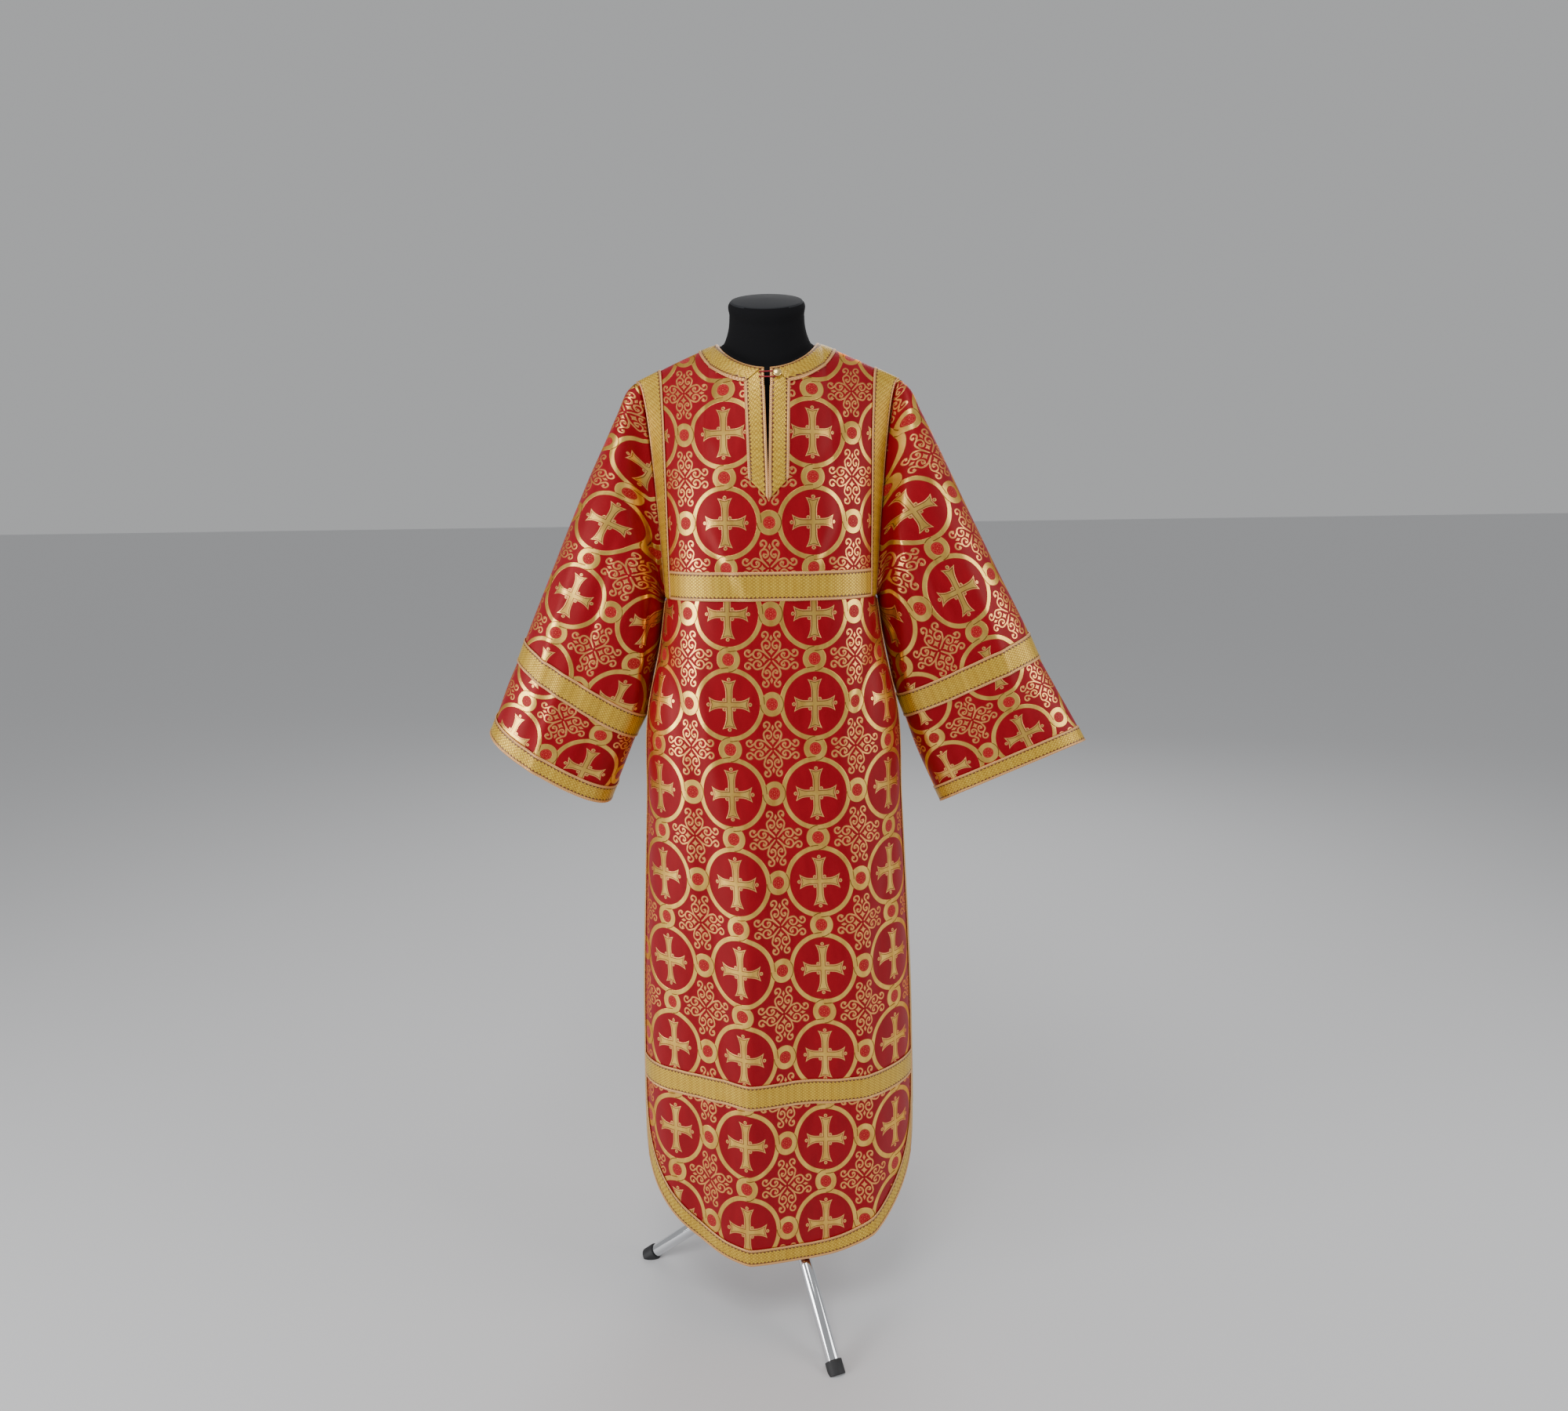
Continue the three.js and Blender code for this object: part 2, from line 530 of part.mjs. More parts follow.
// A polyline as a curve that can be asked for points by distance.
function chain(points) {
  const path = new THREE.CurvePath();
  count(points.length - 1).forEach((index) => path.add(new THREE.LineCurve3(points[index], points[index + 1])));
  return path;
}

// The sleeve's first ring follows the armhole's edge, a seam's gap outside it.
function armholeRing(half) {
  const edge = (panel) => {
    const down = count(CHEST_ROW - NECK_ROWS + 1).map((row) => panel.grid[row + NECK_ROWS][columnIndex(half, ARMHOLE_COLUMN)]);
    const under = [13, 14].map((column) => panel.grid[CHEST_ROW][columnIndex(half, column)]);
    return chain(
      [...down, ...under].map((node) => {
        const point = node.at.clone();
        return point.setX(point.x + half * (ARMHOLE_STEP.least + ARMHOLE_STEP.turned * Math.abs(node.out.x)));
      }),
    );
  };
  return sampleRing(edge(front), edge(back));
}

// Even points round a ring: half of them down the front from the upper edge, half up the back.
function sampleRing(frontHalf, backHalf) {
  const steps = SLEEVE_SIDES / 2;
  const down = count(steps + 1).map((step) => frontHalf.getPointAt(step / steps));
  const up = count(steps - 1).map((step) => backHalf.getPointAt(1 - (step + 1) / steps));
  down[0].y = 0;
  down[steps].y = 0;
  return [...down, ...up];
}

function sleeveRing(half, section) {
  const beside = sectionAt(BODY, section.innerZ).half + SLEEVE_GAP;
  const inner = new THREE.Vector3(section.innerX ?? beside, 0, section.innerZ);
  const outer = new THREE.Vector3(section.outerX, 0, section.outerZ);
  const centre = inner.clone().add(outer).multiplyScalar(0.5);
  const reach = outer.clone().sub(centre);
  const arc = (side) =>
    new Line((t) => {
      const exponent = 2 / section.square;
      const depth = side * section.depth * power(Math.sin(t * Math.PI), exponent);
      const point = centre.clone().addScaledVector(reach, power(Math.cos(t * Math.PI), exponent));
      return point.set(point.x * half, depth, point.z + section.hang * depth);
    });
  return sampleRing(arc(FRONT), arc(BACK));
}

function sleeveGrid(half, table) {
  const points = [armholeRing(half), ...table.map((section) => sleeveRing(half, section))];
  return withNormals(points, () => true, true, half);
}

// The trunk, neck and cap of the dress form, as rings of points that share their corners.
function dressForm() {
  const neck = { half: FORM.neckHalf, front: FORM.neckFront, back: FORM.neckBack };
  const topOf = (side) => topLine(side, neck, FORM.tip, FORM.underNeck, FORM.underTip);
  const tops = { [FRONT]: topOf(FRONT), [BACK]: topOf(BACK) };
  const neckSteps = 5;
  const seamSteps = 7;
  const acrossOf = (side) => {
    const { neckShare } = tops[side];
    const neckPart = count(neckSteps).map((step) => (neckShare * step) / neckSteps);
    return [...neckPart, ...count(seamSteps + 1).map((step) => lerp(neckShare, 1, step / seamSteps))];
  };
  const seamPoint = (step) => {
    const x = lerp(neck.half, FORM.tip, step / seamSteps);
    return new THREE.Vector3(x, 0, shoulderZ(x) - lerp(FORM.underNeck, FORM.underTip, step / seamSteps));
  };
  const loop = (steps, point) => {
    const indices = count(steps + 1);
    const part = (side, half, list) => list.map((index) => point(side, index).clone().multiply(new THREE.Vector3(half, 1, 1)));
    const inner = indices.slice(1, -1);
    return [
      ...part(FRONT, 1, indices),
      ...part(BACK, 1, [0, ...inner].reverse()),
      ...part(BACK, -1, indices.slice(1)),
      ...part(FRONT, -1, [...inner].reverse()),
    ];
  };
  const steps = neckSteps + seamSteps;
  const shoulders = SHOULDER_STEPS.map((down) =>
    loop(steps, (side, index) => {
      if (down === 0 && index >= neckSteps) return seamPoint(index - neckSteps);
      const surface = yokeSurface(tops[side].whole, quarter(TRUNK[0], side));
      return surface(acrossOf(side)[index], down);
    }),
  );
  const trunk = TRUNK.slice(1).map((section) =>
    loop(steps, (side, index) => quarter(section, side).getPointAt(acrossOf(side)[index])),
  );
  const neckBase = loop(neckSteps, (side, index) => tops[side].whole.getPointAt(acrossOf(side)[index]));
  neckBase[neckSteps].copy(seamPoint(0));
  neckBase[3 * neckSteps].copy(seamPoint(0)).setX(-neck.half);
  const neckRings = FORM_NECK.map(({ rise, half }) =>
    neckBase.map((base) => {
      const depth = base.y < 0 ? neck.front : neck.back;
      const point = new THREE.Vector3(base.x, (base.y * neck.half) / depth, 0).setLength(half);
      if (point.y > 0) point.y *= Math.min(1, (neck.back - 0.5) / half);
      const upper = CAP.z + point.y * Math.tan(CAP.tilt);
      return point.setZ(lerp(base.z, upper, rise));
    }),
  );
  const skin = [...[...neckRings].reverse(), neckBase];
  const triangles = [];
  const band = (rings) =>
    count(rings.length - 1).forEach((r) =>
      rings[r].forEach((a, index) => {
        const next = (index + 1) % rings[r].length;
        const [b, c, d] = [rings[r][next], rings[r + 1][next], rings[r + 1][index]];
        triangles.push([a, d, c], [a, c, b]);
      }),
    );
  const fan = (ring, centre, up) =>
    ring.forEach((point, index) => {
      const next = ring[(index + 1) % ring.length];
      triangles.push(up ? [centre, point, next] : [centre, next, point]);
    });
  band([...shoulders, ...trunk]);
  band(skin);
  fan(skin[0], new THREE.Vector3(0, 0, CAP.z + CAP.dome), true);
  fan(trunk.at(-1), new THREE.Vector3(0, 0, FORM.bottom), false);
  return new THREE.BufferGeometry().setFromPoints(triangles.flat());
}

function welded(geometry) {
  const bare = geometry.clone();
  bare.deleteAttribute('normal');
  bare.deleteAttribute('uv');
  return mergeVertices(bare, 1e-4);
}

function toManifold(geometry) {
  const { attributes, index } = welded(geometry);
  const mesh = new wasm.Mesh({
    numProp: 3,
    vertProperties: new Float32Array(attributes.position.array),
    triVerts: new Uint32Array(index.array),
  });
  return new wasm.Manifold(mesh);
}

function cut(geometry, ...tools) {
  const result = tools.reduce((solid, tool) => solid.subtract(toManifold(tool)), toManifold(geometry)).getMesh();
  const cutGeometry = new THREE.BufferGeometry();
  cutGeometry.setAttribute('position', new THREE.BufferAttribute(new Float32Array(result.vertProperties), 3));
  return cutGeometry.setIndex(new THREE.BufferAttribute(new Uint32Array(result.triVerts), 1));
}

function upright(radius, bottom, top, sides = 28) {
  const cylinder = new THREE.CylinderGeometry(radius, radius, top - bottom, sides);
  return cylinder.rotateX(Math.PI / 2).translate(0, 0, (top + bottom) / 2);
}

// A cylinder on a leg's axis, from one distance down it to another.
function onLeg(heading, radius, from, to) {
  const slope = Math.atan2(HUB.legs, LEG.reach);
  const cylinder = new THREE.CylinderGeometry(radius, radius, to - from, 24);
  return cylinder
    .rotateZ(-Math.PI / 2)
    .translate((from + to) / 2, 0, 0)
    .rotateY(slope)
    .rotateZ(heading)
    .translate(0, 0, HUB.legs);
}

const legLength = Math.hypot(HUB.legs, LEG.reach);
const capStart = legLength - LEG.capLength;
const [beyond, floorSize] = [60, 900];
const hubSpace = upright(HUB.radius + SEAM, HUB.bottom - beyond, HUB.top + beyond);
const floorBlock = new THREE.BoxGeometry(floorSize, floorSize, beyond).translate(0, 0, -beyond / 2);
const legTube = (heading) => cut(onLeg(heading, LEG.radius, LEG.buried, capStart - SEAM), hubSpace);
const legCap = (heading) => cut(onLeg(heading, LEG.capRadius, capStart, legLength + LEG.capOver), floorBlock);

// The column whose point has a given X on the front, near the neck slit.
function slitColumn(x) {
  const gap = SLIT.wide;
  const step = FROM_CENTRE[1];
  if (Math.abs(x) < gap) return SEAM_COLUMN + 0.5 + x / (2 * gap);
  return x > 0 ? columnIndex(1, (x - gap) / step) : columnIndex(-1, (-x - gap) / step);
}

function onNeckTrim(x, row, height) {
  const node = sample(front.grid, row, slitColumn(x));
  return node.at.clone().addScaledVector(node.out, CLOTH / 2 + LIFT + BRAID + height);
}

// A shank button on the neck edging beside the slit.
function button() {
  const { shank, shankHeight, head, rim, height, dome } = BUTTON;
  const profile = [
    [0, SEAM],
    [shank, SEAM],
    [shank, shankHeight + SEAM],
    [head * 0.8, shankHeight + SEAM],
    [head, shankHeight + rim],
    [head, shankHeight + 2 * rim],
    [head * 0.85, height - 2 * dome],
    [head * 0.5, height],
    [0, height + dome],
  ].map(([radius, up]) => new THREE.Vector2(radius, up));
  const { out } = sample(front.grid, BUTTON.row, slitColumn(BUTTON.x));
  const turn = new THREE.Quaternion().setFromUnitVectors(new THREE.Vector3(0, 1, 0), out);
  const at = onNeckTrim(BUTTON.x, BUTTON.row, 0);
  return new THREE.LatheGeometry(profile, 20).applyQuaternion(turn).translate(at.x, at.y, at.z);
}

// The loop that crosses the slit and passes round the button's shank.
function buttonLoop() {
  const rowStep = NARROW / NECK_ROWS;
  const [atEnd, atSlit] = LOOP.closing.map((share) => share * LOOP.radius);
  const bend = count(7).map((step) => Math.PI / 2 - (step * Math.PI) / 6);
  const flat = [
    [LOOP.end, atEnd],
    [0, atSlit],
    ...bend.map((angle) => [BUTTON.x + LOOP.radius * Math.cos(angle), LOOP.radius * Math.sin(angle)]),
    [0, -atSlit],
    [LOOP.end, -atEnd],
  ];
  const path = new THREE.CatmullRomCurve3(
    flat.map(([x, up]) => onNeckTrim(x, BUTTON.row - up / rowStep, SEAM + LOOP.cord)),
  );
  const section = new THREE.Shape().absarc(0, 0, LOOP.cord, 0, 2 * Math.PI);
  return new THREE.ExtrudeGeometry(section, { extrudePath: path, steps: LOOP.steps, curveSegments: 4, bevelEnabled: false });
}

const paint = (color, roughness, metalness = 0) => new THREE.MeshStandardMaterial({ color, roughness, metalness });
const brocade = paint(0xb01c26, 0.55, 0.1);
const galloon = paint(0xd0a83c, 0.45, 0.3);
const blackCloth = paint(0x17171a, 0.9);
const chrome = paint(0xc8ccd0, 0.15, 1);
const rubber = paint(0x1c1c1e, 0.8);
const gilt = paint(0xd9b95a, 0.25, 0.8);
const redCord = paint(0xa81828, 0.6);

const group = new THREE.Group();
function add(name, geometry, material) {
  const clean = welded(geometry);
  clean.computeVertexNormals();
  const mesh = new THREE.Mesh(clean, material);
  mesh.name = name;
  group.add(mesh);
}

add('front_panel', wall(front.grid, -CLOTH / 2, CLOTH / 2, front.present), brocade);
add('back_panel', wall(back.grid, -CLOTH / 2, CLOTH / 2, back.present), brocade);
add('neck_trim', neckTrim(), galloon);
add('chest_band', chestTrim(front), galloon);
add('back_band', chestTrim(back), galloon);
add('hem_band_front', hemBand(front), galloon);
add('hem_band_back', hemBand(back), galloon);
add('hem_trim_front', hemTrim(front), galloon);
add('hem_trim_back', hemTrim(back), galloon);
[
  ['left', -1, LEFT_SLEEVE],
  ['right', 1, RIGHT_SLEEVE],
].forEach(([hand, half, table]) => {
  const sleeve = sleeveGrid(half, table);
  add(`sleeve_${hand}`, wall(sleeve, -CLOTH / 2, CLOTH / 2, undefined, true), brocade);
  add(`sleeve_band_${hand}`, trimWall(sleeve.slice(SLEEVE_BAND, SLEEVE_BAND + 2), true), galloon);
  add(`cuff_trim_${hand}`, trimWall(sleeve.slice(-2), true), galloon);
  add(`placket_trim_${hand}`, placketTrim(half), galloon);
  add(`armhole_trim_${hand}`, armholeTrim(half), galloon);
  add(`side_trim_front_${hand}`, sideTrim(front, half), galloon);
  add(`side_trim_back_${hand}`, sideTrim(back, half), galloon);
});
add('button', button(), gilt);
add('button_loop', buttonLoop(), redCord);
add('dress_form', dressForm(), blackCloth);
add('stand_pole', upright(POLE_RADIUS, HUB.top + SEAM, FORM.bottom - SEAM), chrome);
add('stand_hub', upright(HUB.radius, HUB.bottom, HUB.top), chrome);
LEG_HEADINGS.forEach((heading, index) => {
  add(`stand_leg_${index + 1}`, legTube(heading), chrome);
  add(`foot_cap_${index + 1}`, legCap(heading), rubber);
});

// The origin is at the middle of the floor under the whole object.
const middle = new THREE.Box3().setFromObject(group).getCenter(new THREE.Vector3());
group.position.set(-middle.x, -middle.y, 0);
group.updateMatrixWorld(true);

export default group;
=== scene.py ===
"""The looks of a sticharion of red and gold brocade on a black dress form with a chrome tripod stand.

Metres, +Z up, the front faces -Y, and left and right are the viewer's.
Each cloth piece is laid out on a grid of rows and columns. Its shape is worked out from the dress
form's axis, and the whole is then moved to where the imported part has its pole.
"""

import math

import bmesh
import bpy
import numpy as np
from mathutils import Matrix, Vector


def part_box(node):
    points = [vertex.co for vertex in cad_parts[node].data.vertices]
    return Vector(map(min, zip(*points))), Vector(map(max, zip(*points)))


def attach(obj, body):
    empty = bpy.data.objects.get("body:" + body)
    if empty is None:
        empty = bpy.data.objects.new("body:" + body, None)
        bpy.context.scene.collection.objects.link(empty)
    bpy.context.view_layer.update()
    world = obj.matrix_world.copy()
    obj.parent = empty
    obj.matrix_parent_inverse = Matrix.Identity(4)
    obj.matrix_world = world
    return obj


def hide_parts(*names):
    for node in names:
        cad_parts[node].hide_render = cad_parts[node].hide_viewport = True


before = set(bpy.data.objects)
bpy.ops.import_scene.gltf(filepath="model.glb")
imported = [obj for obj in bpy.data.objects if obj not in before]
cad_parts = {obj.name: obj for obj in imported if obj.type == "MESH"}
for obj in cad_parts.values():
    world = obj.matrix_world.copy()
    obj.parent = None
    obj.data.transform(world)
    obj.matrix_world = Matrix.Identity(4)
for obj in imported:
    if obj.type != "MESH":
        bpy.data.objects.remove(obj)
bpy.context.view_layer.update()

FRONT = -1
BACK = 1

# Sizes of the garment.
CLOTH = 0.0016
BRAID = 0.0012
LIFT = 0.0004
SEAM = 0.0003
WIDE = 0.043
NARROW = 0.030
CHEST_Z = 1.232
HEM_Z = 0.124
HEM_ROUND = 0.250
VENT_Z = 0.455
VENT_SPREAD = 0.012
UNDERARM = 0.030
NECK = {
    "half": 0.076, FRONT: 0.088, BACK: 0.060, "z": 1.612, "drop": {FRONT: 0.044, BACK: -0.002}, "bend": 1.4,
}
SHOULDER = {"tip": 0.205, "drop": 0.054, "bend": 1.15}
SHOULDER_SPREAD = 0.45  # how fast the yoke spreads sideways as it falls: lower is squarer
SLIT = {"top": 1.568, "bottom": 1.411, "wide": 0.0045, "narrow": 0.0005, "joined": 1.365}
CENTRE_GAP = 0.007
SLEEVE_GAP = 0.005

# The outline at a few heights: height, half width, front depth, back depth and squareness.
BODY = np.array([
    [1.232, 0.165, 0.128, 0.116, 2.8],
    [1.150, 0.178, 0.130, 0.117, 2.6],
    [1.050, 0.201, 0.130, 0.119, 2.4],
    [0.900, 0.209, 0.130, 0.121, 2.3],
    [0.780, 0.216, 0.130, 0.122, 2.2],
    [0.570, 0.227, 0.131, 0.124, 2.1],
    [0.430, 0.231, 0.131, 0.125, 2.1],
    [0.124, 0.234, 0.132, 0.127, 2.05],
])

# Folds of the skirt: where each is at the chest and at the hem, how far it stands out, its width,
# how soft its edge is, and the heights where it starts and where it is whole.
FOLDS = {
    FRONT: [
        (-0.030, -0.050, 0.0170, 0.054, 1.20, 1.060, 0.620),
        (-0.118, -0.140, -0.0090, 0.046, 1.70, 1.040, 0.560),
        (0.118, 0.158, 0.0110, 0.038, 1.40, 1.040, 0.600),
        (0.062, 0.058, -0.0060, 0.050, 1.70, 0.940, 0.500),
    ],
    BACK: [
        (0.038, 0.060, 0.0140, 0.046, 1.40, 1.080, 0.620),
        (0.120, 0.132, -0.0090, 0.042, 1.70, 0.980, 0.520),
        (-0.066, -0.096, 0.0130, 0.046, 1.40, 1.060, 0.560),
        (-0.012, -0.014, -0.0080, 0.042, 1.70, 0.960, 0.480),
    ],
}

# Small soft creases over the folds, on the front and the back: where each is across and up, how far
# its line leans from upright in degrees, its length, its width, and how far it stands out.
CREASES = {
    FRONT: [
        (-0.092, 1.330, 24, 0.105, 0.0150, -0.0026),
        (-0.066, 1.300, 31, 0.085, 0.0100, 0.0022),
        (0.104, 1.352, -21, 0.110, 0.0140, -0.0036),
        (0.074, 1.310, -29, 0.080, 0.0110, 0.0024),
        (-0.040, 1.285, 8, 0.060, 0.0120, 0.0016),
        (0.034, 1.480, -14, 0.060, 0.0150, 0.0018),
        (-0.092, 1.478, 36, 0.060, 0.0120, 0.0020),
        (0.108, 1.484, -33, 0.064, 0.0120, -0.0020),
        (-0.150, 1.080, 15, 0.120, 0.0150, -0.0042),
        (-0.098, 1.020, 9, 0.130, 0.0170, 0.0032),
        (0.138, 1.070, -17, 0.125, 0.0140, -0.0046),
        (0.108, 0.980, -8, 0.150, 0.0160, 0.0034),
        (0.010, 0.960, 3, 0.170, 0.0190, -0.0034),
        (-0.128, 0.780, 5, 0.190, 0.0170, 0.0040),
        (-0.096, 0.600, 3, 0.300, 0.0260, -0.0058),
        (0.020, 0.680, 2, 0.300, 0.0260, -0.0052),
        (0.098, 0.560, -3, 0.260, 0.0240, 0.0046),
        (0.172, 0.700, -5, 0.190, 0.0160, -0.0040),
        (-0.176, 0.520, 4, 0.160, 0.0180, -0.0040),
        (0.142, 0.330, -6, 0.140, 0.0150, -0.0030),
        (-0.104, 0.310, 5, 0.130, 0.0170, 0.0030),
        (0.046, 0.260, 2, 0.120, 0.0180, 0.0022),
    ],
    BACK: [
        (-0.086, 1.350, 22, 0.110, 0.0130, -0.0034),
        (0.098, 1.330, -26, 0.095, 0.0120, -0.0032),
        (0.052, 1.300, -12, 0.080, 0.0120, 0.0022),
        (-0.020, 1.470, 5, 0.070, 0.0160, 0.0018),
        (-0.140, 1.060, 13, 0.130, 0.0150, -0.0042),
        (0.134, 1.090, -14, 0.120, 0.0160, -0.0040),
        (0.078, 0.960, -6, 0.160, 0.0180, 0.0036),
        (-0.030, 0.900, 2, 0.170, 0.0180, -0.0034),
        (-0.118, 0.730, 5, 0.190, 0.0180, 0.0040),
        (0.014, 0.620, -1, 0.210, 0.0180, 0.0030),
        (0.092, 0.640, -3, 0.200, 0.0160, -0.0042),
        (0.160, 0.480, -5, 0.170, 0.0170, 0.0034),
        (-0.150, 0.400, 4, 0.170, 0.0170, -0.0038),
        (-0.060, 0.320, 2, 0.150, 0.0170, 0.0026),
    ],
}

# The same on the sleeves: the place from armhole to cuff and round from the upper edge over the
# front, both as shares, the lean in shares round, the length and width as shares, and the height.
SLEEVE_CREASES = {
    "left": [
        (0.24, 0.415, 0.10, 0.28, 0.0400, -0.0070),
        (0.20, 0.310, 0.06, 0.24, 0.0180, 0.0038),
        (0.50, 0.410, 0.05, 0.22, 0.0180, 0.0046),
        (0.46, 0.230, 0.09, 0.24, 0.0200, -0.0036),
        (0.62, 0.130, 0.07, 0.22, 0.0200, 0.0034),
        (0.78, 0.340, 0.04, 0.20, 0.0200, -0.0044),
        (0.86, 0.210, 0.05, 0.20, 0.0180, 0.0032),
        (0.40, 0.620, -0.06, 0.30, 0.0200, -0.0050),
        (0.66, 0.720, -0.05, 0.28, 0.0220, 0.0044),
        (0.56, 0.850, -0.05, 0.26, 0.0200, -0.0042),
    ],
    "right": [
        (0.26, 0.420, 0.11, 0.30, 0.0400, -0.0072),
        (0.18, 0.300, 0.05, 0.22, 0.0170, 0.0040),
        (0.44, 0.260, 0.08, 0.26, 0.0200, -0.0040),
        (0.55, 0.420, 0.05, 0.22, 0.0180, 0.0048),
        (0.58, 0.150, 0.06, 0.24, 0.0190, 0.0036),
        (0.74, 0.300, 0.05, 0.22, 0.0220, -0.0042),
        (0.88, 0.400, 0.03, 0.18, 0.0190, 0.0034),
        (0.38, 0.640, -0.06, 0.28, 0.0200, -0.0046),
        (0.60, 0.760, -0.05, 0.28, 0.0220, 0.0042),
        (0.76, 0.620, -0.04, 0.24, 0.0200, -0.0040),
    ],
}

# Rows and columns of the layout. Row 0 is the neckline and the last row is the hem. SHARES are the
# rows' places between the neck edging and the chest band, and SKIRT_Z their heights below it.
SHARES = [0.052, 0.125, 0.228, 0.36, 0.5, 0.667, 0.833, 1]
SKIRT_Z = [1.170, 1.090, 1.000, 0.910, 0.820, 0.730, 0.640, 0.550, 0.452, 0.409]
COLLAR_ROW = 2
SLIT_ROW = 7
CHEST_ROW = 11
BAND_ROW = 20
EDGING_ROW = 23
HEM_ROW = 24
FROM_CENTRE = [0, 0.0145, 0.029]  # distances of the first columns from the slit's edge
FROM_SEAM = [0.074, 0.057, 0.040, 0.030, 0.015, 0]  # distances of the last columns from the side seam
COLLAR_COLUMN = 6
STRIP_COLUMN = 9
ARMHOLE_COLUMN = 12
SEAM_COLUMN = 14

# Sleeve sections from the armhole to the cuff: X and Z of the upper edge and of the lower edge, half
# the depth, how steeply it rises towards the back, and the squareness. A zero lower X is beside the body.
SLEEVES = {
    "right": np.array([
        [0.215, 1.549, 0, 1.226, 0.040, 0, 3.0],
        [0.235, 1.513, 0, 1.214, 0.056, 0, 2.8],
        [0.258, 1.468, 0, 1.202, 0.064, 0, 2.6],
        [0.285, 1.414, 0, 1.186, 0.066, 0, 2.5],
        [0.318, 1.348, 0, 1.163, 0.064, 0, 2.4],
        [0.358, 1.270, 0, 1.130, 0.060, 0, 2.3],
        [0.413, 1.164, 0, 1.067, 0.054, -0.06, 2.3],
        [0.432, 1.123, 0.217, 1.029, 0.052, -0.10, 2.3],
        [0.460, 1.073, 0.235, 0.980, 0.050, -0.20, 2.3],
        [0.498, 1.007, 0.267, 0.909, 0.048, -0.32, 2.3],
        [0.511, 0.982, 0.279, 0.884, 0.048, -0.36, 2.3],
    ]),
    "left": np.array([
        [0.215, 1.549, 0, 1.226, 0.027, 0, 3.0],
        [0.233, 1.513, 0, 1.213, 0.044, 0, 2.8],
        [0.254, 1.470, 0, 1.198, 0.060, 0, 2.6],
        [0.277, 1.425, 0, 1.180, 0.066, 0, 2.5],
        [0.308, 1.360, 0, 1.150, 0.066, 0, 2.4],
        [0.348, 1.272, 0, 1.100, 0.062, 0, 2.3],
        [0.396, 1.166, 0, 1.041, 0.058, 0.08, 2.3],
        [0.410, 1.132, 0.226, 1.004, 0.058, 0.10, 2.3],
        [0.430, 1.090, 0.243, 0.965, 0.058, 0.14, 2.3],
        [0.450, 1.042, 0.260, 0.925, 0.060, 0.19, 2.3],
        [0.462, 1.015, 0.272, 0.898, 0.060, 0.20, 2.3],
    ]),
}

pole_low, pole_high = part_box("stand_pole")
AXIS = np.array([(pole_low.x + pole_high.x) / 2, (pole_low.y + pole_high.y) / 2, 0])
QUARTER_TURN = math.pi / 2


def camera():
    """The photograph's view: from 1.38 m up and 1.7 m in front, looking 11 degrees down."""
    data = bpy.data.cameras.new("view")
    data.lens = 24.336
    data.sensor_width = 36
    view = bpy.data.objects.new("view", data)
    view.location = Vector((0.018, -1.705, 1.38)) + Vector(AXIS)
    view.rotation_mode = "ZYX"
    view.rotation_euler = (math.radians(79), 0, math.radians(-0.8))
    bpy.context.scene.collection.objects.link(view)
    bpy.context.scene.camera = view


# Curves and surfaces.


class Curve:
    """A curve given by a function of 0 to 1, with its points found by distance."""

    def __init__(self, place, steps=400):
        self.place = place
        self.share = np.linspace(0, 1, steps + 1)
        self.distance = run(place(self.share))
        self.length = self.distance[-1]

    def share_at(self, distance):
        return np.interp(distance, self.distance, self.share)

    def at(self, distance):
        return self.place(self.share_at(distance))


def run(line):
    """The distance along a polyline at each of its points."""
    return np.concatenate([[0], np.cumsum(np.linalg.norm(np.diff(line, axis=0), axis=1))])


def points(x, y, z):
    return np.stack(np.broadcast_arrays(x, y, z), -1)


def unit(vectors):
    return vectors / np.linalg.norm(vectors, axis=-1, keepdims=True)


def power(value, exponent):
    return np.sign(value) * np.abs(value) ** exponent


def smoothstep(value, low, high):
    share = np.clip((value - low) / (high - low), 0, 1)
    return share * share * (3 - 2 * share)


def lerp(a, b, share):
    return a + (b - a) * share


def slopes(values, places):
    """The slope at each row of a table, from its neighbours on both sides."""
    gaps = np.diff(places)[:, None]
    steps = np.diff(values, axis=0) / gaps
    inner = (steps[:-1] * gaps[1:] + steps[1:] * gaps[:-1]) / (gaps[:-1] + gaps[1:])
    return np.concatenate([steps[:1], inner, steps[-1:]])


def between(values, places, at):
    """Smooth values of a table whose rows are at rising places."""
    flat = values.reshape(len(places), -1)
    slope = slopes(flat, places)
    at = np.clip(at, places[0], places[-1])
    row = np.clip(np.searchsorted(places, at, side="right") - 1, 0, len(places) - 2)
    gap = (places[row + 1] - places[row])[..., None]
    t = (at - places[row])[..., None] / gap
    start = flat[row] * (2 * t**3 - 3 * t**2 + 1) + slope[row] * gap * (t**3 - 2 * t**2 + t)
    end = flat[row + 1] * (3 * t**2 - 2 * t**3) + slope[row + 1] * gap * (t**3 - t**2)
    return (start + end).reshape(at.shape + values.shape[1:])


def solve(rising, size):
    """Where a rising function of 0 to 1 passes zero, for each of several at once."""
    low = np.zeros(size)
    high = np.ones(size)
    for _ in range(26):
        middle = (low + high) / 2
        below = rising(middle) < 0
        low = np.where(below, middle, low)
        high = np.where(below, high, middle)
    return (low + high) / 2


def section(z):
    """Half width, front depth, back depth and squareness of the body at a height."""
    return between(BODY[::-1, 1:], BODY[::-1, 0], np.asarray(z, float))


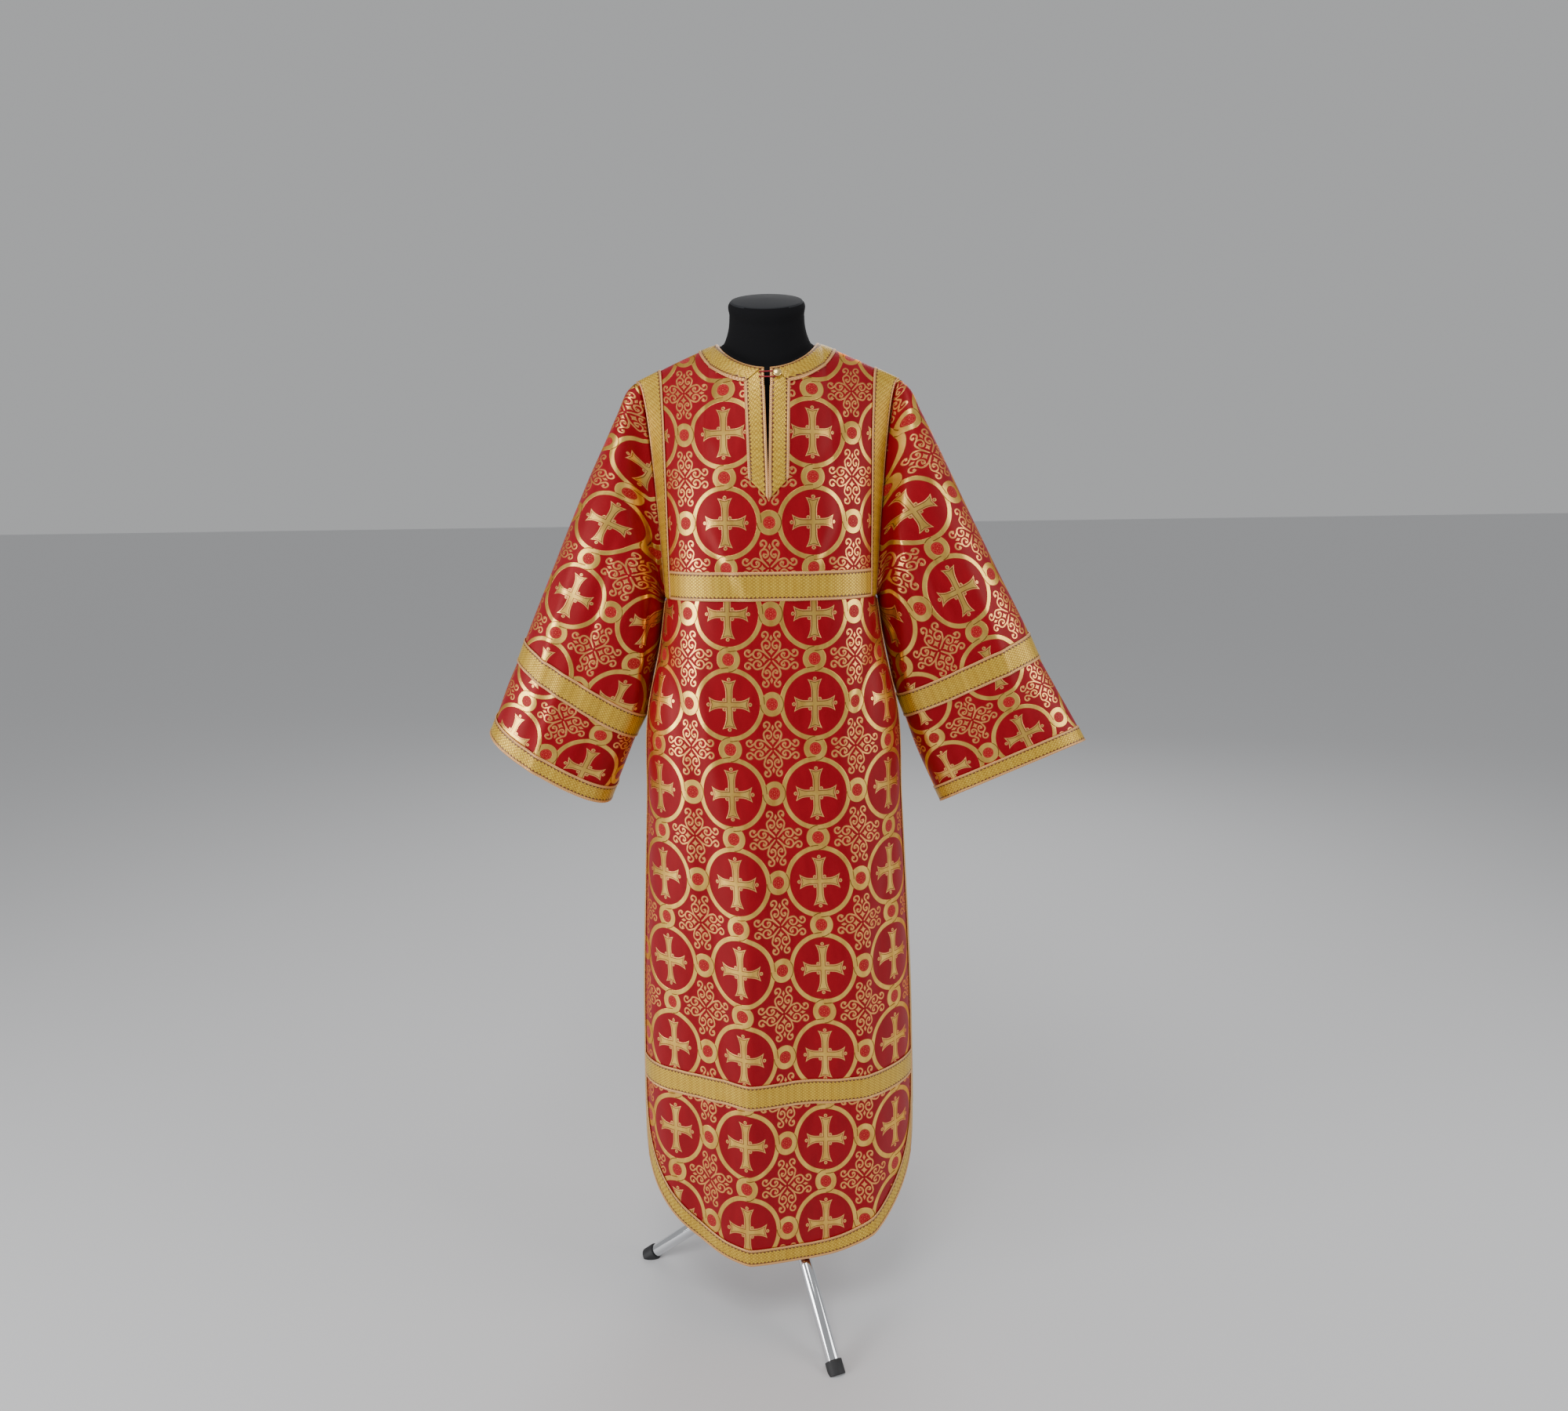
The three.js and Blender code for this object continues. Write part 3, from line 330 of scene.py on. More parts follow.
def quarter(side, half, front, back, square, z=0.0):
    """A quarter of a body section, from the centre line to the side."""
    depth = front if side == FRONT else back

    def place(t):
        angle = t * QUARTER_TURN
        x = half * power(np.sin(angle), 2 / square)
        y = side * depth * power(np.cos(angle), 2 / square)
        return points(x, y, z)

    return Curve(place)


def top_lines(side, half, depth, tip, under_neck=0.0, under_tip=0.0):
    """A quarter of a neckline and the shoulder line after it. The form's lie a little under the cloth's."""

    def neckline(t):
        share = np.cos(t * QUARTER_TURN)
        z = NECK["z"] - under_neck - NECK["drop"][side] * share ** NECK["bend"]
        return points(half * np.sin(t * QUARTER_TURN), side * depth * share, z)

    def shoulder(t):
        x = lerp(half, tip, t)
        share = np.maximum(0, x - NECK["half"]) / (SHOULDER["tip"] - NECK["half"])
        z = NECK["z"] - SHOULDER["drop"] * share ** SHOULDER["bend"]
        return points(x, 0.0, z - lerp(under_neck, under_tip, t))

    return Curve(neckline), Curve(shoulder)


def fallen_share(down):
    """How far a rounded shoulder has fallen towards the chest line, as a share."""
    return 1 - np.cos(down * QUARTER_TURN)


def rounded(start, end, down):
    """Points on a rounded shoulder, from its top line at down 0 to the chest line at down 1."""
    fall = fallen_share(down)
    x = lerp(start[..., 0], end[..., 0], fall**SHOULDER_SPREAD)
    y = lerp(start[..., 1], end[..., 1], np.sin(down * QUARTER_TURN))
    return points(x, y, lerp(start[..., 2], end[..., 2], fall))


class Yoke:
    """The rounded surface from the neckline and shoulder seam down to the chest line."""

    CELLS = 160  # of the table of lengths, each way

    def __init__(self, side):
        self.side = side
        self.neckline, self.seam = top_lines(side, NECK["half"], NECK[side], SHOULDER["tip"])
        self.top_length = self.neckline.length + self.seam.length
        self.chest = quarter(side, *BODY[0, 1:], z=CHEST_Z)
        self.reach = self.chest.length - UNDERARM
        self.tables = {}
        self.starts = {}
        shares = np.linspace(0, 1, self.CELLS + 1)
        grid = self.surface(*np.meshgrid(shares, shares))
        steps = np.linalg.norm(np.diff(grid[..., 1:], axis=0), axis=-1)
        fallen = np.concatenate([np.zeros((1, self.CELLS + 1)), np.cumsum(steps, axis=0)])
        self.height = fallen[-1] - fallen

    def top(self, across):
        distance = np.clip(across, 0, 1) * self.top_length
        on_neck = (distance < self.neckline.length)[..., None]
        return np.where(on_neck, self.neckline.at(distance), self.seam.at(distance - self.neckline.length))

    def surface(self, across, down):
        return rounded(self.top(across), self.chest.at(across * self.reach), down)

    def flat(self, across, down):
        """The place of a point on the flat cloth: across from the centre line, up from the chest line."""
        distance = across * self.top_length
        top = np.minimum(distance, self.neckline.length)
        start = self.neckline.at(top)[..., 0] + np.maximum(0, distance - self.neckline.length)
        u = lerp(start, across * self.reach, fallen_share(down) ** SHOULDER_SPREAD)
        rows, columns = np.clip(down, 0, 1) * self.CELLS, np.clip(across, 0, 1) * self.CELLS
        r = np.minimum(rows.astype(int), self.CELLS - 1)
        c = np.minimum(columns.astype(int), self.CELLS - 1)
        upper = lerp(self.height[r, c], self.height[r, c + 1], columns - c)
        lower = lerp(self.height[r + 1, c], self.height[r + 1, c + 1], columns - c)
        return np.stack([u, lerp(upper, lower, rows - r)], -1)

    def gap(self, z):
        """Half the width of the cell on the centre line, which is the neck slit at the front."""
        if self.side == BACK:
            return np.full_like(z, CENTRE_GAP)
        share = np.clip((z - SLIT["bottom"]) / (SLIT["top"] - SLIT["bottom"]), 0, 1)
        joined = np.clip((SLIT["joined"] - z) / (SLIT["joined"] - CHEST_Z - WIDE), 0, 1)
        below = lerp(SLIT["narrow"], CENTRE_GAP, joined)
        return np.where(z > SLIT["bottom"], lerp(SLIT["narrow"], SLIT["wide"], share), below)

    def locate(self, x, y):
        """The across and down values of the surface's point at x and y."""

        def down_at(across):
            start = self.top(across)[..., 1]
            end = self.chest.at(across * self.reach)[..., 1]
            return np.arcsin(np.clip((y - start) / (end - start + 1e-12), 0, 1)) / QUARTER_TURN

        across = solve(lambda value: self.surface(value, down_at(value))[..., 0] - x, np.shape(x))
        return across, down_at(across)

    def collar(self, column, distance):
        """A point a distance away from the neckline, square to it, and straight down near the slit."""
        gap = SLIT["wide"] if self.side == FRONT else CENTRE_GAP
        near = gap + np.interp(column, [0, 1, 2], FROM_CENTRE)
        share = np.maximum(0, column - 2) / (COLLAR_COLUMN - 2)
        start = self.neckline.at(lerp(near, self.neckline.length, share))
        heading = np.stack([start[..., 0] / NECK["half"] ** 2, start[..., 1] / NECK[self.side] ** 2], -1)
        turned = np.clip(column - 2, 0, 1)
        heading[..., 0] *= turned
        heading = unit(heading)

        def reach(share):
            x, y = np.moveaxis(start[..., :2] + heading * (share * distance)[..., None], -1, 0)
            return self.locate(x, y)

        def short_of(share):
            return np.linalg.norm(self.surface(*reach(share)) - start, axis=-1) - distance

        return reach(solve(short_of, np.shape(distance)))

    def prepare(self, columns):
        """Works out where columns start, on the lower edge of the neck edging."""
        wanted = np.minimum([*columns, COLLAR_COLUMN], COLLAR_COLUMN)
        across, down = self.collar(wanted, np.full(wanted.shape, NARROW))
        for column, *start in zip(wanted, across, down):
            self.starts[round(float(column), 4)] = start

    def column(self, column):
        """The distances, across and down values along one column, from the collar to the chest line."""
        key = round(float(column), 4)
        if key in self.tables:
            return self.tables[key]
        across, down = self.starts[min(key, COLLAR_COLUMN)]
        if column > COLLAR_COLUMN:
            from_seam = np.interp(max(column, STRIP_COLUMN) - STRIP_COLUMN, range(6), FROM_SEAM)
            strip = 1 - (from_seam - UNDERARM) / self.top_length
            share = min(1, (column - COLLAR_COLUMN) / (STRIP_COLUMN - COLLAR_COLUMN))
            across, down = lerp(across, strip, share), 0.0
        t = np.linspace(0, 1, 121)
        downs = lerp(down, 1, t)
        end = column_distance(column, CENTRE_GAP, self.chest.length) / self.reach
        acrosses = lerp(across, end, t)
        if column < 3:
            straight = self.straight(min(column, 2), downs)
            acrosses = lerp(straight, acrosses, max(0, column - 2))
        self.tables[key] = (run(self.surface(acrosses, downs)), acrosses, downs)
        return self.tables[key]

    def straight(self, column, downs):
        """Across values that keep a column straight down beside the slit."""
        offset = np.interp(column, [0, 1, 2], FROM_CENTRE)

        def off(value):
            point = self.surface(value, downs)
            return point[..., 0] - self.gap(point[..., 2]) - offset

        return solve(off, downs.shape)

    def spot(self, row, column):
        """The across and down values of places below the collar, all in one column."""
        distance, acrosses, downs = self.column(column)
        to_band = distance[-1] - WIDE
        marks = [0, *[share * to_band for share in SHARES], distance[-1]]
        wanted = np.interp(row, range(COLLAR_ROW, CHEST_ROW + 1), marks)
        return np.interp(wanted, distance, acrosses), np.interp(wanted, distance, downs)


def column_distance(column, gap, edge):
    """A column's distance from the centre line, where the side seam is at the distance edge."""
    near = gap + np.interp(column, [0, 1, 2], FROM_CENTRE)
    seam = edge - np.interp(column, range(STRIP_COLUMN, SEAM_COLUMN + 1), FROM_SEAM)
    share = (column - 2) / (STRIP_COLUMN - 2)
    middle = lerp(gap + FROM_CENTRE[2], edge - FROM_SEAM[0], share)
    return np.where(column < 2, near, np.where(column >= STRIP_COLUMN, seam, middle))


def hem_z(edge):
    return HEM_Z + HEM_ROUND - np.sqrt(HEM_ROUND**2 - np.maximum(0, HEM_ROUND - edge) ** 2)


def edging_z(edge):
    radius = HEM_ROUND - NARROW
    inside = np.clip(HEM_ROUND - edge, 0, radius)
    return HEM_Z + HEM_ROUND - np.sqrt(radius**2 - inside**2) + np.maximum(0, NARROW - edge) / 2


class Skirt:
    """The body below the chest line, with the shares of its sections at even distances in a table."""

    LEVELS = 64
    STEPS = 240

    def __init__(self, side):
        self.side = side
        curves = [quarter(side, *values) for values in section(np.linspace(HEM_Z, CHEST_Z, self.LEVELS + 1))]
        self.lengths = np.array([curve.length for curve in curves])
        even = np.linspace(0, 1, self.STEPS + 1)
        self.shares = np.array([curve.share_at(even * curve.length) for curve in curves])
        self.hem_length = quarter(side, *BODY[-1, 1:]).length

    def height(self, row, column):
        edge = self.hem_length - column_distance(column, CENTRE_GAP, self.hem_length)
        edging = edging_z(edge)
        rows = np.arange(CHEST_ROW, BAND_ROW + 2)
        upper = np.interp(row, rows, [CHEST_Z, *SKIRT_Z])
        to_edging = lerp(SKIRT_Z[-1], edging, (row - BAND_ROW - 1) / 2)
        to_hem = lerp(edging, hem_z(edge), row - EDGING_ROW)
        return np.where(row <= BAND_ROW + 1, upper, np.where(row <= EDGING_ROW, to_edging, to_hem))

    def place(self, half, row, column, middle):
        """half is -1 or 1. middle is 1 on a column and less inside the cell on the centre line."""
        z = self.height(row, column)
        level = (z - HEM_Z) / (CHEST_Z - HEM_Z) * self.LEVELS
        k = np.clip(level.astype(int), 0, self.LEVELS - 1)
        t = level - k
        length = lerp(self.lengths[k], self.lengths[k + 1], t)
        spread = VENT_SPREAD * np.maximum(0, VENT_Z - z) / (VENT_Z - HEM_Z)
        distance = column_distance(column, CENTRE_GAP, length - spread) * middle
        step = np.clip(distance / length, 0, 1) * self.STEPS
        i = np.minimum(step.astype(int), self.STEPS - 1)
        lower = lerp(self.shares[k, i], self.shares[k, i + 1], step - i)
        upper = lerp(self.shares[k + 1, i], self.shares[k + 1, i + 1], step - i)
        share = lerp(lower, upper, t)
        values = section(z)
        depth = values[..., 1] if self.side == FRONT else values[..., 2]

        def curve(at):
            angle = np.clip(at, 1e-5, 1 - 1e-5) * QUARTER_TURN
            x = values[..., 0] * np.sin(angle) ** (2 / values[..., 3])
            return np.stack([x, self.side * depth * np.cos(angle) ** (2 / values[..., 3])], -1)

        point = curve(share)
        ahead = unit(curve(np.minimum(share + 2e-3, 1)) - curve(np.maximum(share - 2e-3, 0)))
        lift = self.lift(half * distance, z, length - distance)
        x = (point[..., 0] - self.side * ahead[..., 1] * lift) * half
        y = point[..., 1] + self.side * ahead[..., 0] * lift
        flat = np.stack([half * distance, z - CHEST_Z], -1)
        return points(x, y, z), flat

    def lift(self, distance, z, edge):
        """How far the folds stand out from the plain section."""
        share = (CHEST_Z - z) / (CHEST_Z - HEM_Z)
        total = np.zeros(np.shape(z))
        for across, hem, height, width, soft, starts, full in FOLDS[self.side]:
            offset = np.abs((distance - lerp(across, hem, share)) / width)
            softened = np.sqrt(offset**2 + 0.0016)
            total += height * (1 - smoothstep(z, full, starts)) * np.exp(-(softened**soft))
        return total * smoothstep(edge, 0, 0.080)


class Panel:
    """The front or the back, as one surface over the whole layout."""

    def __init__(self, side):
        self.side = side
        self.yoke = Yoke(side)
        self.skirt = Skirt(side)

    def place(self, rows, columns):
        """Points and flat places for arrays of rows and signed columns, where 0 is the centre line and
        the first column is half a step from it."""
        shape = np.broadcast_shapes(rows.shape, columns.shape)
        rows = np.broadcast_to(rows, shape).astype(float)
        columns = np.broadcast_to(columns, shape).astype(float)
        half = np.where(columns < 0, -1.0, 1.0)
        column = np.maximum(np.abs(columns) - 0.5, 0)
        middle = np.minimum(np.abs(columns) * 2, 1)
        place, flat = self.skirt.place(half, np.maximum(rows, CHEST_ROW), column, middle)
        above = (rows < CHEST_ROW) & (column <= ARMHOLE_COLUMN)
        collar = above & (rows < COLLAR_ROW)
        if collar.any():
            distance = rows[collar] / COLLAR_ROW * NARROW
            self.fill(place, flat, collar, half, middle, *self.yoke.collar(column[collar], distance))
        lower = above & ~collar
        self.yoke.prepare(np.unique(column[lower]))
        for value in np.unique(column[lower]):
            here = lower & (column == value)
            self.fill(place, flat, here, half, middle, *self.yoke.spot(rows[here], value))
        at_shoulder = (rows <= COLLAR_ROW) & (column >= COLLAR_COLUMN)
        at_side = (rows >= CHEST_ROW) & (column >= SEAM_COLUMN)
        place[..., 1] += np.where(at_shoulder | at_side, self.side * SEAM / 2, 0)
        return place + self.creased(place, rows, column), flat

    def creased(self, place, rows, column):
        """The small creases, which fade away towards the neckline, the shoulder and the sides."""
        total = np.zeros(rows.shape)
        for across, up, lean, length, width, height in CREASES[self.side]:
            turn = math.radians(lean)
            x, z = place[..., 0] - across, place[..., 2] - up
            along = (z * math.cos(turn) - x * math.sin(turn)) / length
            aside = (x * math.cos(turn) + z * math.sin(turn)) / width
            total += height * crease(along, aside)
        total *= (1 - smoothstep(column, 8.5, 12)) * smoothstep(rows, COLLAR_ROW, COLLAR_ROW + 3)
        out = unit(place[..., :2] * [0.6, 1] + 1e-9)
        return points(out[..., 0], out[..., 1], 0.0) * total[..., None]

    def fill(self, place, flat, here, half, middle, across, down):
        across = across * middle[here]
        place[here] = self.yoke.surface(across, down) * points(half[here], 1.0, 1.0)
        flat[here] = self.yoke.flat(across, down) * np.stack([half[here], np.ones(across.shape)], -1)


def crease(along, aside):
    """The height of a soft crease, 1 in its middle, at shares of its length and of its width."""
    return np.exp(-along**2 - np.abs(aside) ** 1.7)


HALF_RING = 56  # steps round the front or the back of a sleeve


def sleeve_rings(hand):
    """The front and the back halves of rings of points from the armhole to the cuff."""
    half = 1 if hand == "right" else -1
    table = SLEEVES[hand]
    shares = np.linspace(0, 1, HALF_RING + 1)

    def edge(panel):
        rows = np.linspace(COLLAR_ROW, CHEST_ROW, 46)
        down, _ = panel.place(rows, np.full(rows.shape, half * (ARMHOLE_COLUMN + 0.5)))
        columns = np.linspace(ARMHOLE_COLUMN, SEAM_COLUMN, 7)[1:] + 0.5
        under, _ = panel.place(np.full(columns.shape, float(CHEST_ROW)), half * columns)
        line = np.concatenate([down, under])
        line[:, 0] += half * (SEAM + 0.0017 * np.clip(np.linspace(0, 3, len(line)), 0, 1))
        line[[0, -1], 1] = 0
        return resample(line, shares)

    def arc(side, row):
        outer_x, outer_z, inner_x, inner_z, depth, hang, square = row
        if inner_x == 0:
            inner_x = float(section(inner_z)[0]) + SLEEVE_GAP
        outer = np.array([outer_x, 0, outer_z])
        inner = np.array([inner_x, 0, inner_z])
        angle = np.linspace(0, math.pi, 241)
        along = power(np.cos(angle), 2 / square)[:, None]
        y = side * depth * np.abs(np.sin(angle)) ** (2 / square)
        line = (outer + inner) / 2 + (outer - inner) / 2 * along
        line[:, 1] = y
        line[:, 2] += hang * y
        line[:, 0] *= half
        return resample(line, shares)

    fronts = [edge(front), *[arc(FRONT, row) for row in table]]
    backs = [edge(back), *[arc(BACK, row) for row in table]]
    return np.array(fronts), np.array(backs)


def resample(line, shares):
    """Points of a polyline at shares of its length."""
    distance = run(line)
    return np.stack([np.interp(shares * distance[-1], distance, line[:, k]) for k in range(3)], -1)


class Sleeve:
    """One sleeve, as closed rings from the armhole to the cuff."""

    def __init__(self, hand):
        self.half = 1 if hand == "right" else -1
        fronts, backs = sleeve_rings(hand)
        self.places = run((fronts[:, HALF_RING // 2] + backs[:, HALF_RING // 2]) / 2)
        self.rings = np.concatenate([fronts, backs[:, ::-1]], axis=1)
        self.last = len(self.places) - 1
        self.pattern = SLEEVE_PATTERN[hand]
        self.creases = SLEEVE_CREASES[hand]

    def place(self, rows):
        """Whole rings at given rows of the layout, closed on themselves, with their flat places."""
        at = np.interp(rows, range(self.last + 1), self.places)
        rings = between(self.rings, self.places, at)
        upper = rings[:, 0]
        lower = rings[:, HALF_RING]
        steps = np.linalg.norm(np.diff(rings, axis=1), axis=2)
        around = np.concatenate([np.zeros((len(rows), 1)), np.cumsum(steps, axis=1)], axis=1)
        ahead = unit((lower - upper)[:, [0, 2]])
        ahead[:, 0] *= self.half
        edge = np.array([math.sin(SLEEVE_LEAN), -math.cos(SLEEVE_LEAN)])
        behind = 2 * (ahead @ edge)[:, None] * edge - ahead
        start = np.stack([upper[:, 0] * self.half, upper[:, 2]], -1)[:, None]
        total = around[:, -1:]
        flat_front = start + around[..., None] * ahead[:, None]
        flat_back = start + (total - around)[..., None] * behind[:, None]
        flat = np.where((np.arange(rings.shape[1]) <= HALF_RING)[None, :, None], flat_front, flat_back)
        flat = self.unrolled(rows, rings, flat)
        side = np.array([edge[1], -edge[0]])
        turned = np.stack([-(flat @ side) * self.half, flat @ -edge], -1)
        return rings + self.creased(rings, at / self.places[-1], around / total), turned

    def unrolled(self, rows, rings, flat):
        """Gives the flat cloth its true length near the armhole, where the sleeve opens out sideways."""
        steps = np.diff(flat, axis=0)
        lengths = np.linalg.norm(np.diff(rings, axis=0), axis=2) / (np.linalg.norm(steps, axis=2) + 1e-9)
        near = (rows[1:] <= 4)[:, None]
        extra = steps * (np.where(near, np.clip(lengths, 1, 5), 1) - 1)[..., None]
        added = np.cumsum(extra[::-1], axis=0)[::-1]
        return flat - np.concatenate([added, np.zeros_like(flat[:1])])

    def creased(self, rings, down, around):
        """The small creases, which fade away towards the armhole."""
        total = np.zeros(around.shape)
        for row, place, lean, length, width, height in self.creases:
            along = (down[:, None] - row) / length
            aside = (around - place - lean * along * length) / width
            total += height * crease(along, aside)
        total *= smoothstep(down, 0.0, 0.14)[:, None]
        out = rings - rings.mean(axis=1, keepdims=True)
        out[:, :, 2] *= 0.3
        return unit(out) * total[..., None]


# Meshes.


def outward(place, centre):
    """Unit normals of a grid of points, pointing away from centre, and whether its columns run backwards."""
    down = np.gradient(place, axis=0)
    across = np.gradient(place, axis=1)
    normal = np.cross(down, across)
    normal /= np.linalg.norm(normal, axis=-1, keepdims=True) + 1e-15
    backwards = (normal * (place - centre)).sum() < 0
    return (-normal if backwards else normal), backwards


def lay_grid(mesh, place, uv, centre, keep=None):
    """Adds a grid of points to a mesh, with a map of its own, and leaves out the cells that aren't kept."""
    _, backwards = outward(place, centre)
    if backwards:
        place = place[:, ::-1]
        uv = uv[:, ::-1]
        keep = None if keep is None else keep[:, ::-1]
    rows, columns = place.shape[:2]
    layer = mesh.loops.layers.uv.get("cloth") or mesh.loops.layers.uv.new("cloth")
    made = bmesh.ops.create_grid(mesh, x_segments=columns - 1, y_segments=rows - 1, size=1)["verts"]
    spots = {}
    for vert in made:
        column = round((vert.co.x + 1) / 2 * (columns - 1))
        row = round((1 - vert.co.y) / 2 * (rows - 1))
        spots[vert] = (row, column)
        vert.co = place[row, column] + AXIS
    gone = []
    for face in {face for vert in made for face in vert.link_faces}:
        corners = [spots[vert] for vert in face.verts]
        face.smooth = True
        for loop in face.loops:
            loop[layer].uv = uv[spots[loop.vert]]
        row = min(corner[0] for corner in corners)
        column = min(corner[1] for corner in corners)
        if keep is not None and not keep[row, column]:
            gone.append(face)
    bmesh.ops.delete(mesh, geom=gone, context="FACES")


def finished(name, mesh):
    """The shown object of a modelled mesh."""
    data = bpy.data.meshes.new(name)
    mesh.to_mesh(data)
    mesh.free()
    piece = bpy.data.objects.new(f"shown_{name}", data)
    bpy.context.scene.collection.objects.link(piece)
    return piece


def place_on(piece, node, slot, *materials):
    """Gives a piece its finishes, hangs it on the root body and hides the solid it is seen in place of."""
    for material in materials:
        piece.data.materials.append(material)
    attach(piece, "root")
    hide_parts(node)


def cloth_piece(name, place, uv, centre, thickness, slot, material, keep=None, closed=False):
    """A thin wall over a grid of points."""
    mesh = bmesh.new()
    lay_grid(mesh, place, uv, centre, keep)
    if closed:
        bmesh.ops.remove_doubles(mesh, verts=mesh.verts, dist=1e-5)
    piece = finished(name, mesh)
    wall = piece.modifiers.new("wall", "SOLIDIFY")
    wall.thickness = thickness
    wall.offset = 0
    wall.use_even_offset = True
    wall.use_quality_normals = True
    place_on(piece, name, slot, material)
    return piece


def spread(marks, counts):
    """Values that split each stretch between marks evenly."""
    parts = [np.linspace(a, b, n, endpoint=False) for a, b, n in zip(marks, marks[1:], counts)]
    return np.concatenate([*parts, [marks[-1]]])


ROWS = spread([0, 2, 10, 11, 20, 21, 23, 24], [10, 56, 8, 100, 8, 32, 6])
HALF_COLUMNS = spread([0.5, 2.5, 9.5, 12.5, 14.5], [6, 42, 9, 6])
COLUMNS = np.concatenate([-HALF_COLUMNS[::-1], [0], HALF_COLUMNS])
UPRIGHT = [0, 0, 1]  # times a point, this gives the one beside it on the axis

# The brocade's repeat. On the body its rows are counted from a height above the chest line, first, each
# row is a little taller than the last, and the columns drift sideways low down. On a sleeve it follows
# the edge.
PATTERN = {"repeat": 0.130, "drift": 0.012, "first": 0.246, "height": 0.1295, "growth": 0.00155}
SLEEVE_LEAN = math.radians(26.8)
SLEEVE_PATTERN = {
    "left": {"repeat": (0.130, 0.1155), "start": (-0.19, 0.27)},
    "right": {"repeat": (0.130, 0.130), "start": (0.06, 0.42)},
}
SLEEVE_SPLITS = [6, 5, 5, 6, 8, 10, 12, 6, 7, 8, 5]


def pattern_on_body(flat):
    """The repeat's own units: the rings hang a little longer towards the hem, as the cloth does."""
    lower = smoothstep(-flat[..., 1], 0.18, 0.75)
    across = (flat[..., 0] - PATTERN["drift"] * lower) / PATTERN["repeat"] + 0.5
    fallen = PATTERN["first"] - flat[..., 1]
    start, growth = PATTERN["height"], PATTERN["growth"]
    rows = (-start + np.sqrt(np.maximum(start**2 + 4 * growth * fallen, 0.001))) / (2 * growth)
    return np.stack([across, -rows], -1)


def panel_piece(name, panel):
    place, flat = panel.place(ROWS[:, None], COLUMNS[None, :])
    row = (ROWS[:-1, None] + ROWS[1:, None]) / 2
    column = np.abs(COLUMNS[None, :-1] + COLUMNS[None, 1:]) / 2
    on_yoke = (column < ARMHOLE_COLUMN + 0.5) & (row > COLLAR_ROW)
    keep = (row > CHEST_ROW) | on_yoke | (column < COLLAR_COLUMN + 0.5)
    if panel.side == FRONT:
        keep &= (column > 0.5) | (row > SLIT_ROW)
    piece = cloth_piece(name, place, pattern_on_body(flat), place * UPRIGHT, CLOTH, "brocade", brocade, keep)
    return piece, flat_facts(flat, keep)


def sleeve_piece(name, sleeve):
    rows = spread(range(sleeve.last + 1), SLEEVE_SPLITS)
    place, flat = sleeve.place(rows)
    uv = flat / sleeve.pattern["repeat"] - np.array(sleeve.pattern["start"])
    centre = place.mean(axis=1, keepdims=True)
    piece = cloth_piece(name, place, uv, centre, CLOTH, "brocade", brocade, closed=True)
    counted = np.ones((len(rows) - 1, place.shape[1] - 1), bool)
    counted[:, HALF_RING] = False
    return piece, flat_facts(flat, counted)


# Shares of a braid's width, closer together at its two corded edges.
CORD = 0.0034
CORD_RISE = 0.0006
EDGE = np.array([0, 0.0007, 0.0017, 0.0027, 0.0034, 0.0042])


def braid_shares(width):
    inner = np.linspace(EDGE[-1], width - EDGE[-1], 9)[1:-1]
    return np.concatenate([EDGE, inner, width - EDGE[::-1]]) / width


def braid_height(shares, width):
    """The corded edges stand a little proud of the woven middle."""
    edge = np.minimum(shares, 1 - shares) * width
    cord = np.clip(1 - (edge / CORD * 2 - 1) ** 2, 0, 1)
    return CORD_RISE * np.sqrt(cord)


def braid_piece(name, place, width, centre, closed=False):
    """A braid over a grid of points, with columns across it and rows along it, facing away from centre."""
    shares = braid_shares(width)
    normal, _ = outward(place, centre)
    if closed:
        normal[0] = normal[-1] = (normal[0] + normal[-1]) / 2
    rise = CLOTH / 2 + LIFT + BRAID / 2 + braid_height(shares, width)
    along = run(place[:, len(shares) // 2])
    edge = np.minimum(shares, 1 - shares) * width
    uv = np.stack(np.broadcast_arrays(along[:, None], edge[None, :]), -1)
    raised = place + normal * rise[None, :, None]
    return cloth_piece(name, raised, uv, centre, BRAID, "braid", galloon, closed=closed)


# Materials.


class Number:
    """A number in a material's nodes, so that a pattern can be written as a formula."""

    def __init__(self, tree, socket):
        self.tree = tree
        self.socket = socket

    def calc(self, kind, *others, clamp=False):
        node = self.tree.nodes.new("ShaderNodeMath")
        node.operation = kind
        node.use_clamp = clamp
        for value, socket in zip([self, *others], node.inputs):
            if isinstance(value, Number):
                self.tree.links.new(value.socket, socket)
            else:
                socket.default_value = value
        return Number(self.tree, node.outputs[0])

    def __add__(self, other):
        return self.calc("ADD", other)

    def __sub__(self, other):
        return self.calc("SUBTRACT", other)

    def __mul__(self, other):
        return self.calc("MULTIPLY", other)

    def __abs__(self):
        return self.calc("ABSOLUTE")

    def less(self, other):
        return self.calc("MINIMUM", other)

    def more(self, other):
        return self.calc("MAXIMUM", other)

    def rest(self):
        """One less the number."""
        return self.calc("MULTIPLY_ADD", -1.0, 1.0)

    def share(self, gain, less=0.0):
        """The number times gain and then less something, held between 0 and 1."""
        return self.calc("MULTIPLY_ADD", gain, -less, clamp=True)

    def cycle(self, length):
        """How far it is past the nearest multiple of a length, below 0 if it is before it, in lengths."""
        return (self * (1 / length) + 0.5).calc("FRACT") - 0.5

    def within(self, width, soft=0.004):
        """1 where the number is below the width, 0 where it is above, with a soft edge."""
        return self.calc("MULTIPLY_ADD", -1 / soft, width / soft + 0.5, clamp=True)


def distance(x, y):
    return (x * x + y * y).calc("SQRT")


def ring(x, y, centre_x, centre_y, radius):
    return abs(distance(x - centre_x, y - centre_y) - radius)


